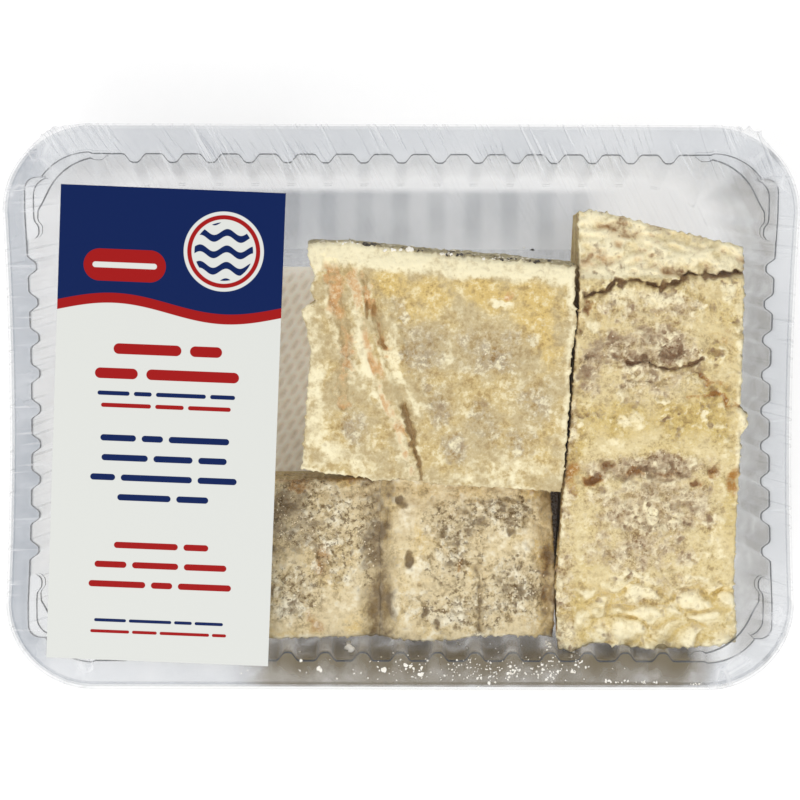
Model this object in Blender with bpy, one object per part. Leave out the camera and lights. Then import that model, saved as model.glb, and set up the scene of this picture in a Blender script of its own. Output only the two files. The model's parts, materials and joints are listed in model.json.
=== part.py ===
"""Salted dried ling cutlets in a sealed retail pack.

A clear fluted tray holds an absorbent pad and five sawn cutlets of salted, dried ling.
Stretch film is drawn over the rim, down to the base and folded under it, where its ends
are welded into a seam panel. A paper label lies on the film.

All sizes below are millimetres; meshes are scaled to metres when they are made.
+X runs along the pack, +Y across it towards the edge that the label's heading faces,
+Z is up, and the origin is the middle of the base.
"""

import math

import bmesh
import bpy
from mathutils import Vector, noise

MM = 0.001
GAP = 0.3                      # clearance between pieces that touch

# Pack, over the film
HALF_LENGTH = 111.5
HALF_WIDTH = 80.0
SIDE_BOW = 1.5                 # the film's pull draws the short sides in by this much
CORNER_RADIUS = 24.6
CORNER_X = HALF_LENGTH - CORNER_RADIUS
CORNER_Y = HALF_WIDTH - CORNER_RADIUS

# Film
FILM = 0.3
LIP_Z = 45.0                   # where the film leaves the rim's turned-down lip
HEM = 22.0                     # how far the film folds in under the base

# Tray
WALL = 0.8
RIM_Z = 50.0
FLOOR_Z = FILM + GAP           # underside of the floor
LEDGE_DEPTH = 5.0              # stacking ledge in each corner, below the rim
MOUTH_X = 105.0                # half sizes of the mouth, at the outer face of the flutes
MOUTH_Y = 71.5
FLOOR_X = 96.5                 # the same at the floor: the walls lean out by about 9
FLOOR_Y = 62.5
FLOOR_RADIUS = 28.0
LEDGE_RADIUS = 15.7            # wall below the ledge, around the corner's centre
NOTCH_ANGLE = math.radians(36.5)
NOTCH_FILLET = 3.4
FLUTE = 2.4                    # how far each flute stands into the tray
FLUTE_AT_FLOOR = 1.8
LONG_FLUTES = 8                # flutes either side of the middle one, long side
SHORT_FLUTES = 5
LONG_PITCH = 10.64
SHORT_PITCH = 10.02
FLUTE_SHOULDER = 0.28          # half width of a flute's foot and crown, in pitches
FLUTE_CROWN = 0.11

# Absorbent pad
PAD_X = 80.0
PAD_Y = (-56.0, 36.5)
PAD_T = 2.0
PAD_EDGE = 5.0
PAD_TOP = FLOOR_Z + WALL + GAP + PAD_T
BED = PAD_TOP + GAP            # the level that the cutlets stand on

# Label
LABEL_SIZE = (62.7, 134.0)
LABEL_T = 0.2
LABEL_CENTRE = (-66.2, -4.9)
LABEL_TURN = math.radians(-2.2)


# ---------------------------------------------------------------- shared tools

def material(name, colour, roughness, alpha=1.0):
    """A Principled material in the piece's own colour."""
    made = bpy.data.materials.new(name)
    made.use_nodes = True
    shader = made.node_tree.nodes["Principled BSDF"]
    shader.inputs["Base Color"].default_value = (*colour, 1.0)
    shader.inputs["Roughness"].default_value = roughness
    shader.inputs["Metallic"].default_value = 0.0
    shader.inputs["Alpha"].default_value = alpha
    return made


def place(name, bm, finish, centre=(0.0, 0.0, 0.0), turn=0.0):
    """Turns a bmesh in millimetres into a named object at its place in the pack."""
    bmesh.ops.scale(bm, vec=(MM, MM, MM), verts=bm.verts)
    bmesh.ops.recalc_face_normals(bm, faces=bm.faces)
    mesh = bpy.data.meshes.new(name)
    bm.to_mesh(mesh)
    bm.free()
    mesh.materials.append(finish)
    obj = bpy.data.objects.new(name, mesh)
    obj.location = Vector(centre) * MM
    obj.rotation_euler = (0.0, 0.0, turn)
    obj.parent = PACK
    bpy.context.collection.objects.link(obj)
    return obj


def loft(bm, chains):
    """Skins a closed ring of vertex chains.

    Neighbouring chains match from their start and at their end; what one of them has
    more, just before its end, fans out from the other's last matching vertex."""
    for left, right in zip(chains, chains[1:] + chains[:1]):
        matched = min(len(left), len(right)) - 2
        steps = [(i, i) for i in range(matched + 1)]
        steps += [(i, matched) for i in range(matched + 1, len(left) - 1)]
        steps += [(matched, j) for j in range(matched + 1, len(right) - 1)]
        steps.append((len(left) - 1, len(right) - 1))
        for (i, j), (next_i, next_j) in zip(steps, steps[1:]):
            if next_i != i:
                bm.faces.new((left[i], left[next_i], right[j]))
            if next_j != j:
                bm.faces.new((left[next_i], right[next_j], right[j]))


def mirrored(quadrant):
    """A quarter's (x, y, ...) columns, from the +Y side to the +X side, all the way round."""
    ring = []
    for sign_x, sign_y in ((1, 1), (1, -1), (-1, -1), (-1, 1)):
        order = quadrant if sign_x == sign_y else quadrant[::-1]
        ring += [[(sign_x * x, sign_y * y, z) for x, y, z in chain] for chain in order]
    return ring


def smooth(value):
    """Eases a 0-1 value in and out."""
    value = min(max(value, 0.0), 1.0)
    return value * value * (3.0 - 2.0 * value)


# ---------------------------------------------------------------- tray

def bow(y):
    """How far the short side is drawn in at this distance from the middle."""
    return SIDE_BOW * max(0.0, 1.0 - (y / CORNER_Y) ** 2)


def floor_point(theta, offset):
    """Point on the floor's rounded corner, in the direction theta."""
    radius = FLOOR_RADIUS + offset
    x = FLOOR_X - FLOOR_RADIUS + radius * math.cos(theta)
    y = FLOOR_Y - FLOOR_RADIUS + radius * math.sin(theta)
    return x, y


def floor_on_long_side(x, offset):
    """The floor outline's y at this x."""
    over = x - (FLOOR_X - FLOOR_RADIUS)
    if over <= 0.0:
        return FLOOR_Y + offset
    return FLOOR_Y - FLOOR_RADIUS + math.sqrt((FLOOR_RADIUS + offset) ** 2 - over ** 2)


def floor_on_short_side(y, offset):
    """The floor outline's x at this y."""
    over = y - (FLOOR_Y - FLOOR_RADIUS)
    if over <= 0.0:
        return FLOOR_X + offset - bow(y)
    return FLOOR_X - FLOOR_RADIUS + math.sqrt((FLOOR_RADIUS + offset) ** 2 - over ** 2) - bow(y)


def flute_stations(count, pitch):
    """(place, depth, on_ledge) along half a side, four stations a flute."""
    stations = []
    for flute in range(count + 1):
        for shift, depth in ((-FLUTE_SHOULDER, 0.0), (-FLUTE_CROWN, 1.0),
                             (FLUTE_CROWN, 1.0), (FLUTE_SHOULDER, 0.0)):
            at = (flute + shift) * pitch
            last = flute == count
            if at > 0.0 and not (last and shift == FLUTE_SHOULDER):
                stations.append((at, depth, last))
    return stations


def mouth_radius(theta):
    """Distance from the corner's centre to the mouth: an arc, then the side's square notch."""
    arc = MOUTH_Y - CORNER_Y
    side = MOUTH_X - CORNER_X
    if theta >= NOTCH_ANGLE:
        return arc
    notch = arc * math.sin(NOTCH_ANGLE)
    corner = Vector((side - NOTCH_FILLET, notch - NOTCH_FILLET))
    ray = Vector((math.cos(theta), math.sin(theta)))
    along = corner.dot(ray)
    inside = along ** 2 - corner.length_squared + NOTCH_FILLET ** 2
    flat = min(side / max(ray.x, 1e-6), notch / max(ray.y, 1e-6))
    rounded = along + math.sqrt(inside) if inside > 0.0 else flat
    hit = ray * rounded
    on_fillet = hit.x > corner.x and hit.y > corner.y
    return rounded if on_fillet else flat


def tray_quadrant(grow):
    """Wall columns of the tray's quarter; grow is 0 on the inner skin, WALL on the outer."""
    low = FLOOR_Z + WALL - grow
    top = RIM_Z - grow
    ledge = RIM_Z - LEDGE_DEPTH - grow
    lip = FILM + GAP + grow
    columns = []
    for x, depth, on_ledge in flute_stations(LONG_FLUTES, LONG_PITCH):
        y_rim = MOUTH_Y + grow - (0.0 if on_ledge else depth * FLUTE)
        y_low = floor_on_long_side(x, grow * 0.6) - depth * FLUTE_AT_FLOOR
        chain = [(x, HALF_WIDTH - lip, LIP_Z + GAP), (x, HALF_WIDTH - lip, top), (x, y_rim, top)]
        if on_ledge:
            y_ledge = CORNER_Y + LEDGE_RADIUS + grow - depth * FLUTE
            chain += [(x, y_rim, ledge), (x, y_ledge, ledge)]
        columns.append(chain + [(x, y_low, low)])

    start = math.asin((CORNER_X - FLOOR_X + FLOOR_RADIUS) / FLOOR_RADIUS)
    end = math.asin((CORNER_Y - FLOOR_Y + FLOOR_RADIUS) / FLOOR_RADIUS)
    start = math.pi / 2 - start
    for degrees in (88, 78, 68, 58, 47, 37, 36, 30, 25, 19, 11, 2):
        theta = math.radians(degrees)
        ray = Vector((math.cos(theta), math.sin(theta)))
        blend = 1.0 - theta / (math.pi / 2)
        wall = (LEDGE_RADIUS - 1.4 * math.sin(2.0 * theta) + grow) * ray
        mouth = (mouth_radius(theta) + grow) * ray
        rim = (CORNER_RADIUS - lip) * ray
        foot = floor_point(start + (end - start) * blend, grow * 0.6)
        corner = [(CORNER_X + ring.x, CORNER_Y + ring.y, z)
                  for ring, z in ((rim, LIP_Z + GAP), (rim, top), (mouth, top),
                                  (mouth, ledge), (wall, ledge))]
        columns.append(corner + [(*foot, low)])

    for y, depth, on_ledge in reversed(flute_stations(SHORT_FLUTES, SHORT_PITCH)):
        x_out = HALF_LENGTH - lip - bow(y)
        x_rim = MOUTH_X + grow - bow(y) - (0.0 if on_ledge else depth * FLUTE)
        x_low = floor_on_short_side(y, grow * 0.6) - depth * FLUTE_AT_FLOOR
        chain = [(x_out, y, LIP_Z + GAP), (x_out, y, top), (x_rim, y, top)]
        if on_ledge:
            x_ledge = CORNER_X + LEDGE_RADIUS + grow - depth * FLUTE
            chain += [(x_rim, y, ledge), (x_ledge, y, ledge)]
        columns.append(chain + [(x_low, y, low)])
    return columns


def make_tray():
    bm = bmesh.new()
    skins = []
    for grow in (0.0, WALL):
        ring = mirrored(tray_quadrant(grow))
        chains = [[bm.verts.new(point) for point in chain] for chain in ring]
        bm.faces.new([chain[-1] for chain in chains])
        loft(bm, chains)
        skins.append(chains)
    loft(bm, [[inner[0], outer[0]] for inner, outer in zip(*skins)])
    return place("tray", bm, material("clear_plastic", (0.86, 0.88, 0.91), 0.12, 0.3))


# ---------------------------------------------------------------- film and its seam

def wrap_columns(rim, foot):
    """Column feet of the film's quarter: (rim x, rim y, foot x, foot y) round the pack.

    rim is added to the pack's outline and foot to the floor's outline."""
    columns = []
    for share in (0.0, 0.5):
        x_rim = CORNER_X * share
        x_foot = (FLOOR_X - FLOOR_RADIUS) * share
        columns.append((x_rim, HALF_WIDTH + rim, x_foot, FLOOR_Y + foot))
    for step in range(10):
        theta = math.pi / 2 * (1.0 - step / 9)
        x_rim = CORNER_X + (CORNER_RADIUS + rim) * math.cos(theta)
        y_rim = CORNER_Y + (CORNER_RADIUS + rim) * math.sin(theta)
        columns.append((x_rim, y_rim, *floor_point(theta, foot)))
    for share in (0.5, 0.0):
        y_rim = CORNER_Y * share
        y_foot = (FLOOR_Y - FLOOR_RADIUS) * share
        columns.append((HALF_LENGTH + rim - bow(y_rim), y_rim, FLOOR_X + foot - bow(y_foot), y_foot))
    return columns


def film_skin(inward):
    """Chains of the film's quarter from the hem to the top; inward is 0 or the film's thickness."""
    stops = (
        ("foot", 1.4 - HEM, inward),
        ("foot", 1.4 - inward, inward),
        ("foot", 2.1 - inward, 0.7 + 0.5 * inward),
        ("rim", -inward, LIP_Z),
        ("rim", -inward, RIM_Z + GAP + FILM - 0.4 - 0.3 * inward),
        ("rim", -0.4 - 0.5 * inward, RIM_Z + GAP + FILM - inward),
        ("rim", -30.0, RIM_Z + GAP + FILM - inward),
    )
    rings = []
    for side, offset, z in stops:
        columns = wrap_columns(offset, 0.0) if side == "rim" else wrap_columns(0.0, offset)
        first = 0 if side == "rim" else 2
        rings.append([(*column[first:first + 2], z) for column in columns])
    return [list(chain) for chain in zip(*rings)]


def drop_repeats(ring):
    """Leaves out a column that its mirror image repeats on an axis."""
    kept = []
    for chain in ring:
        same = [other for other in kept if (Vector(other[0]) - Vector(chain[0])).length < 1e-6]
        if not same:
            kept.append(chain)
    return kept


def make_film():
    bm = bmesh.new()
    hems = []
    for inward in (0.0, FILM):
        ring = drop_repeats(mirrored(film_skin(inward)))
        chains = [[bm.verts.new(point) for point in chain] for chain in ring]
        loft(bm, chains)
        middle = bm.verts.new((0.0, 0.0, RIM_Z + GAP + FILM - inward))
        for left, right in zip(chains, chains[1:] + chains[:1]):
            bm.faces.new((left[-1], right[-1], middle))
        hems.append([chain[0] for chain in chains])
    loft(bm, [[outer, inner] for outer, inner in zip(*hems)])
    return place("film", bm, material("stretch_film", (0.93, 0.94, 0.96), 0.08, 0.12))


def make_film_seam():
    """The welded panel of film ends that closes the hem's middle, flush with it."""
    bm = bmesh.new()
    feet = [column[2:] for column in wrap_columns(0.0, 1.4 - HEM - GAP)]
    ring = drop_repeats(mirrored([[(x, y, 0.0), (x, y, FILM)] for x, y in feet]))
    chains = [[bm.verts.new(point) for point in chain] for chain in ring]
    bm.faces.new([chain[0] for chain in chains])
    bm.faces.new([chain[1] for chain in chains])
    loft(bm, chains)
    return place("film_seam", bm, material("welded_film", (0.9, 0.91, 0.93), 0.2, 0.35))


# ---------------------------------------------------------------- pad and label

def make_pad():
    """A flat pad with thin, heat-sealed edges and rounded corners."""
    bm = bmesh.new()
    centre_y = sum(PAD_Y) / 2
    half_y = (PAD_Y[1] - PAD_Y[0]) / 2
    quadrant = []
    for step in range(5):
        theta = math.pi / 2 * (1.0 - step / 4)
        x = PAD_X - PAD_EDGE + PAD_EDGE * math.cos(theta)
        y = half_y - PAD_EDGE + PAD_EDGE * math.sin(theta)
        inner = (x - PAD_EDGE * 0.6, y - PAD_EDGE * 0.6)
        quadrant.append([(x, y, 0.0), (x, y, PAD_T * 0.4), (*inner, PAD_T)])
    chains = [[bm.verts.new(point) for point in chain] for chain in mirrored(quadrant)]
    loft(bm, chains)
    for level in (0, -1):
        bm.faces.new([chain[level] for chain in chains])
    finish = material("absorbent_pad", (0.66, 0.63, 0.57), 0.85)
    return place("pad", bm, finish, centre=(0.0, centre_y, PAD_TOP - PAD_T))


def make_label():
    bm = bmesh.new()
    width, height = LABEL_SIZE
    bmesh.ops.create_cube(bm, size=1.0)
    bmesh.ops.scale(bm, vec=(width, height, LABEL_T), verts=bm.verts)
    level = RIM_Z + GAP + FILM + GAP + LABEL_T / 2
    finish = material("label_paper", (0.93, 0.93, 0.92), 0.45)
    return place("label", bm, finish, centre=(*LABEL_CENTRE, level), turn=LABEL_TURN)


# ---------------------------------------------------------------- cutlets

def between(corners, u, v):
    """Point at (u, v) inside four corners given from the -X -Y one, anticlockwise."""
    near = Vector(corners[0]).lerp(Vector(corners[1]), u)
    far = Vector(corners[3]).lerp(Vector(corners[2]), u)
    return near.lerp(far, v)


def groove(x, y, path, width, depth):
    """Depth at (x, y) of a furrow along a path of points."""
    here = Vector((x, y))
    nearest = width * 2.0
    for start, end in zip(path, path[1:]):
        a, b = Vector(start), Vector(end)
        share = min(max((here - a).dot(b - a) / (b - a).length_squared, 0.0), 1.0)
        nearest = min(nearest, (here - a.lerp(b, share)).length)
    return depth * smooth(1.0 - nearest / width)


def roughness(x, y, seed, scale, amount):
    """Uneven sawn and salted surface: two octaves of smooth noise."""
    low = noise.noise(Vector((x / scale, y / scale, seed)))
    high = noise.noise(Vector((x * 2.3 / scale, y * 2.3 / scale, seed + 7.0)))
    return amount * (low + 0.5 * high)


def make_cutlet(name, top, foot, bed, surface, cells, colour, seed, rounding=0.05):
    """A sawn block: surface(x, y) is its top's height, and its sides run in to the foot."""
    bm = bmesh.new()
    count_u, count_v = cells

    def plan(corners, u, v):
        s, t = 2.0 * u - 1.0, 2.0 * v - 1.0
        pinch = 1.0 - rounding * (s * t) ** 2
        return between(corners, 0.5 + s * pinch / 2.0, 0.5 + t * pinch / 2.0)

    grid = []
    for i in range(count_u + 1):
        row = []
        for j in range(count_v + 1):
            u, v = i / count_u, j / count_v
            spot = plan(top, u, v)
            rim = min(i, j, count_u - i, count_v - j) == 0
            ragged = roughness(spot.x, spot.y, seed + 20.0, 9.0, 1.3) if rim else 0.0
            spot = spot + (between(top, 0.5, 0.5) - spot).normalized() * abs(ragged)
            drop = 1.2 if rim else 0.0
            row.append(bm.verts.new((*spot, surface(spot.x, spot.y) - drop)))
        grid.append(row)
    for i in range(count_u):
        for j in range(count_v):
            bm.faces.new((grid[i][j], grid[i + 1][j], grid[i + 1][j + 1], grid[i][j + 1]))

    steps = [(i, 0) for i in range(count_u)]
    steps += [(count_u, j) for j in range(count_v)]
    steps += [(i, count_v) for i in range(count_u, 0, -1)]
    steps += [(0, j) for j in range(count_v, 0, -1)]
    rings = [[grid[i][j] for i, j in steps]]
    for level in (0.5, 1.0):
        ring = []
        for i, j in steps:
            edge = grid[i][j].co
            below = plan(foot, i / count_u, j / count_v)
            x, y = edge.xy.lerp(below, level)
            z = edge.z + (bed - edge.z) * level
            swell = roughness(x + z, y - z, seed + 40.0, 12.0, 0.8) if level < 1.0 else 0.0
            away = (Vector((x, y)) - between(foot, 0.5, 0.5)).normalized() * min(swell, 0.2)
            ring.append(bm.verts.new((x + away.x, y + away.y, z)))
        rings.append(ring)
    loft(bm, [list(chain) for chain in zip(*rings)])
    bm.faces.new(rings[-1])
    bmesh.ops.triangulate(bm, faces=bm.faces)
    return place(name, bm, material(name + "_flesh", colour, 0.8))


def centre_surface(x, y):
    """Top cutlet: split muscle bands down its left side, a long crack, a worn far edge."""
    height = 47.8 + roughness(x, y, 1.0, 8.0, 0.6)
    height -= groove(x, y, [(-10.5, 38.0), (-4.5, 18.0), (2.5, -2.0), (5.5, -20.5)], 3.2, 2.2)
    height -= groove(x, y, [(-20.5, 36.0), (-17.0, 12.0), (-12.5, -6.0)], 3.6, 1.7)
    height -= groove(x, y, [(-1.0, 30.0), (4.5, 12.0), (9.0, 2.0)], 2.8, 1.2)
    height -= 1.2 * smooth((y - 35.0 + 0.08 * x) / 8.0)
    return height


def under_surface(x, y):
    return 26.6 + min(0.0, roughness(x, y, 2.0, 10.0, 0.8))


def right_surface(x, y):
    """Long cutlet: a slab that sags past a crack at its far end, a step where a flake
    has lifted off, the dark line of the middle, and hollows between the near end's flakes."""
    height = 46.0 + roughness(x, y, 3.0, 7.0, 0.9)
    slab = smooth((y - 35.5) / 3.0)
    height -= slab * (2.0 + 0.45 * max(0.0, y - 38.0))
    height -= groove(x, y, [(50.0, 34.5), (72.0, 34.5), (84.0, 38.0), (98.0, 38.5)], 2.6, 3.4)
    height -= 1.6 * smooth((x - 72.0) / 6.0) * smooth((8.0 - y) / 3.0) * smooth((y + 3.0) / 10.0)
    height -= groove(x, y, [(46.0, -19.0), (62.0, -18.0), (78.0, -20.5), (96.0, -19.0)], 3.4, 1.4)
    height -= groove(x, y, [(54.0, -54.0), (62.0, -58.5), (67.0, -59.0)], 4.2, 2.6)
    height -= groove(x, y, [(82.0, -50.5), (94.0, -52.5)], 3.6, 2.2)
    height -= 1.6 * smooth((-60.0 - y) / 6.0)
    return height


def left_surface(x, y):
    """Near cutlet under the label's edge, higher where it rides up the tray's wall."""
    height = 35.2 + 6.0 * (-22.0 - y) / 44.0 + roughness(x, y, 4.0, 8.0, 0.8)
    return height - 3.0 * smooth((x + 13.0) / 7.0)


def middle_surface(x, y):
    """Near cutlet in the middle, with a short seam and a slope down to its right side."""
    height = 35.6 + 6.0 * (-22.0 - y) / 44.0 + roughness(x, y, 5.0, 7.0, 0.9)
    height -= groove(x, y, [(22.0, -30.0), (23.5, -45.0), (22.5, -66.0)], 2.6, 1.8)
    height -= 2.6 * smooth((0.0 - x) / 6.0)
    return height - 3.4 * smooth((x - 37.0) / 7.0)


def make_cutlets():
    yellow = (0.80, 0.68, 0.44)
    salted = (0.74, 0.68, 0.55)
    make_cutlet("cutlet_centre",
                top=((-27.6, -18.0), (45.6, -23.6), (49.3, 38.7), (-25.7, 44.8)),
                foot=((-24.9, -16.9), (44.6, -22.1), (47.4, 39.4), (-24.4, 45.4)),
                bed=26.6 + GAP, surface=centre_surface, cells=(27, 23),
                colour=yellow, seed=11.0, rounding=0.03)
    make_cutlet("cutlet_centre_under",
                top=((-23.0, -15.5), (43.5, -20.0), (45.0, 37.0), (-22.5, 42.5)),
                foot=((-21.0, -14.5), (41.5, -18.0), (43.0, 35.0), (-21.0, 40.5)),
                bed=BED, surface=under_surface, cells=(9, 8),
                colour=salted, seed=12.0)
    make_cutlet("cutlet_right",
                top=((44.4, -68.0), (95.8, -67.2), (97.4, 44.6), (51.6, 54.8)),
                foot=((46.2, -58.5), (86.5, -57.0), (90.5, 41.0), (50.8, 52.0)),
                bed=BED, surface=right_surface, cells=(19, 44),
                colour=yellow, seed=13.0, rounding=0.05)
    make_cutlet("cutlet_left",
                top=((-71.5, -66.0), (-6.2, -66.8), (-6.6, -21.6), (-70.0, -22.4)),
                foot=((-69.0, -58.5), (-8.0, -59.0), (-8.0, -23.5), (-68.0, -24.0)),
                bed=BED, surface=left_surface, cells=(22, 16),
                colour=salted, seed=14.0)
    make_cutlet("cutlet_middle",
                top=((-5.4, -67.0), (43.4, -66.6), (43.4, -24.3), (-5.8, -20.6)),
                foot=((-4.4, -59.0), (40.4, -58.6), (41.0, -25.4), (-4.4, -22.4)),
                bed=BED, surface=middle_surface, cells=(18, 16),
                colour=salted, seed=15.0)


for leftover in list(bpy.data.objects):
    bpy.data.objects.remove(leftover, do_unlink=True)

PACK = bpy.data.objects.new("pack", None)
bpy.context.collection.objects.link(PACK)

make_tray()
make_pad()
make_cutlets()
make_film()
make_film_seam()
make_label()
bpy.context.view_layer.update()
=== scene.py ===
"""Looks of a sealed pack of salted, dried ling cutlets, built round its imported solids."""
import json
import math

import bpy
import numpy as np
from mathutils import Euler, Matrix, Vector, noise
from mathutils.bvhtree import BVHTree

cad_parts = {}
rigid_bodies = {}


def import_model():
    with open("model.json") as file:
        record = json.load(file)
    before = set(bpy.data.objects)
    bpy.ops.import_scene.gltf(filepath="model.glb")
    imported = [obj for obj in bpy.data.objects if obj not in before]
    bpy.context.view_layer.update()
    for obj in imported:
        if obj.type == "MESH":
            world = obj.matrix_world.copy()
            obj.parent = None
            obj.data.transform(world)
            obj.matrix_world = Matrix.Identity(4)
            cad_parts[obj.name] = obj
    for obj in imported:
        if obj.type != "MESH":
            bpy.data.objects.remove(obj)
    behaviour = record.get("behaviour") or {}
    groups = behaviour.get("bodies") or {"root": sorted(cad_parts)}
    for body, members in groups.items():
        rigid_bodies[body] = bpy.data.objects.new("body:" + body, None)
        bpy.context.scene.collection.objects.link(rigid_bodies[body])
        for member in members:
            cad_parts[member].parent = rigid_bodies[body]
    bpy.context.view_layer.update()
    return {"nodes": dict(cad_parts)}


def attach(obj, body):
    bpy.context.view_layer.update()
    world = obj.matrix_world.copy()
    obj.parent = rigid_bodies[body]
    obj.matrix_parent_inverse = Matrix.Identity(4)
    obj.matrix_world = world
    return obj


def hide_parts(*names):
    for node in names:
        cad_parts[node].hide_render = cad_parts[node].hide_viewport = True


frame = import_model()


# ---------------------------------------------------------------- camera, floor and light
# The pack lies on a white sweep in soft studio light and is seen from above, from a metre away.
# The key light stands on its near side, at the left, and a paler panel fills the shadows.
MM = 0.001
CAMERA_PLACE = (-6.47, 117.1, 1038.39)
CAMERA_TURN = (-0.115156, -0.0058855, 0.0032359)
CAMERA_LENS = 159.34
CAMERA_SENSOR = 36.0
CAMERA_NEAR = 0.01
CLEAR_LAYERS = 24                 # how many clear walls a ray of light may pass
SWEEP = 6.0
SWEEP_GLOW = 0.64
SKY = 0.7
WHITE = (1.0, 1.0, 1.0, 1.0)
PANELS = {                        # place, size, watts and colour of each light
    "key_light": ((-0.34, -0.66, 1.38), 0.8, 9.4, (1.0, 0.99, 0.97)),
    "fill_light": ((0.5, 0.8, 1.2), 0.9, 2.5, (0.97, 0.98, 1.0)),
}

camera = bpy.data.objects.new("camera", bpy.data.cameras.new("camera"))
camera.location = Vector(CAMERA_PLACE) * MM
camera.rotation_euler = Euler(CAMERA_TURN)
camera.data.lens = CAMERA_LENS
camera.data.sensor_width = CAMERA_SENSOR
camera.data.clip_start = CAMERA_NEAR
bpy.context.collection.objects.link(camera)
bpy.context.scene.camera = camera
bpy.context.scene.view_settings.view_transform = "Standard"
bpy.context.scene.cycles.transparent_max_bounces = CLEAR_LAYERS

for title, (place, size, watts, colour) in PANELS.items():
    panel = bpy.data.lights.new(title, "AREA")
    panel.size = size
    panel.energy = watts
    panel.color = colour
    lamp = bpy.data.objects.new(title, panel)
    lamp.location = place
    lamp.rotation_euler = (-Vector(place)).to_track_quat("-Z", "Y").to_euler()
    bpy.context.collection.objects.link(lamp)

sky = bpy.data.worlds.new("studio")
sky.use_nodes = True
sky.node_tree.nodes["Background"].inputs["Color"].default_value = WHITE
sky.node_tree.nodes["Background"].inputs["Strength"].default_value = SKY
bpy.context.scene.world = sky


def add(tree, kind, wires=None, **settings):
    """Adds a node; wires maps its inputs to values or to other nodes' outputs."""
    made = tree.nodes.new(kind)
    for key, value in settings.items():
        setattr(made, key, value)
    for socket, value in (wires or {}).items():
        if isinstance(value, bpy.types.NodeSocket):
            tree.links.new(value, made.inputs[socket])
        else:
            made.inputs[socket].default_value = value
    return made


def calc(tree, operation, *values):
    """A Math node's result. A sum, a product or the highest may be of more than two values."""
    if operation in ("ADD", "MULTIPLY", "MAXIMUM") and len(values) > 2:
        values = (calc(tree, operation, *values[:-1]), values[-1])
    return add(tree, "ShaderNodeMath", dict(enumerate(values)), operation=operation).outputs[0]


def remap(tree, value, low, high, to_low=0.0, to_high=1.0):
    """Eases a value from one range to another and holds it there."""
    wires = {0: value, 1: low, 2: high, 3: to_low, 4: to_high}
    return add(tree, "ShaderNodeMapRange", wires, interpolation_type="SMOOTHSTEP").outputs[0]


def blend(tree, share, first, second, way="MIX"):
    """Mixes two colours."""
    wires = {0: share, 6: first, 7: second}
    mixed = add(tree, "ShaderNodeMix", wires, data_type="RGBA", blend_type=way)
    return mixed.outputs[2]


def grain(tree, where, size, detail=2.0, rough=0.5):
    """Noise whose largest lumps are about this many millimetres across."""
    wires = {"Vector": where, "Scale": 1.0 / (size * MM), "Detail": detail, "Roughness": rough}
    return add(tree, "ShaderNodeTexNoise", wires).outputs[0]


def rgb(red, green, blue):
    """A colour measured from 0 to 255, as the shaders take it."""
    parts = [channel / 255.0 for channel in (red, green, blue)]
    linear = [((part + 0.055) / 1.055) ** 2.4 if part > 0.04045 else part / 12.92 for part in parts]
    return (*linear, 1.0)


def new_material(name, **values):
    """A material with a Principled shader that has these plain values."""
    made = bpy.data.materials.new(name)
    made.use_nodes = True
    shader = made.node_tree.nodes["Principled BSDF"]
    for socket, value in values.items():
        shader.inputs[socket.replace("_", " ")].default_value = value
    return made, made.node_tree, shader


def feed(shader, **wires):
    """Links other nodes' outputs to a shader's sockets."""
    for socket, output in wires.items():
        shader.id_data.links.new(output, shader.inputs[socket.replace("_", " ")])


def place_on(tree):
    """Where a point is on the piece."""
    return add(tree, "ShaderNodeTexCoord").outputs["Object"]


def axes_of(tree, vector):
    """A vector's X, Y and Z."""
    return add(tree, "ShaderNodeSeparateXYZ", {0: vector}).outputs


def new_group(name, inputs, outputs):
    """An empty shader group with named sockets."""
    tree = bpy.data.node_groups.new(name, "ShaderNodeTree")
    for title, kind, value in inputs:
        socket = tree.interface.new_socket(title, in_out="INPUT", socket_type=kind)
        if value is not None:
            socket.default_value = value
    for title, kind in outputs:
        tree.interface.new_socket(title, in_out="OUTPUT", socket_type=kind)
    return tree, tree.nodes.new("NodeGroupInput").outputs, tree.nodes.new("NodeGroupOutput").inputs


def new_piece(name, points, faces, finish, smooth=True):
    """A mesh object from points in millimetres."""
    mesh = bpy.data.meshes.new(name)
    mesh.from_pydata([(x * MM, y * MM, z * MM) for x, y, z in points], [], faces)
    mesh.validate()
    mesh.materials.append(finish)
    if smooth:
        mesh.shade_smooth()
    made = bpy.data.objects.new(name, mesh)
    bpy.context.collection.objects.link(made)
    return made


def keep_values(piece, **lists):
    """Stores one value or vector a point on the piece, for its material or its tree to read."""
    for name, values in lists.items():
        values = np.asarray(values, np.float32)
        kind, field_name = ("FLOAT", "value") if values.ndim == 1 else ("FLOAT_VECTOR", "vector")
        layer = piece.data.attributes.new(name, kind, "POINT")
        layer.data.foreach_set(field_name, values.ravel())


sweep_finish, tree, shader = new_material("white_sweep", Roughness=0.9, Emission_Strength=SWEEP_GLOW,
                                          Emission_Color=WHITE)
dust = grain(tree, place_on(tree), 40.0)
feed(shader, Base_Color=blend(tree, dust, rgb(174, 174, 174), rgb(178, 178, 178)))
half = SWEEP / 2.0 / MM
sweep_points = [(-half, -half, 0.0), (half, -half, 0.0), (half, half, 0.0), (-half, half, 0.0)]
sweep = new_piece("sweep", sweep_points, [(0, 1, 2, 3)], sweep_finish)


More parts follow.
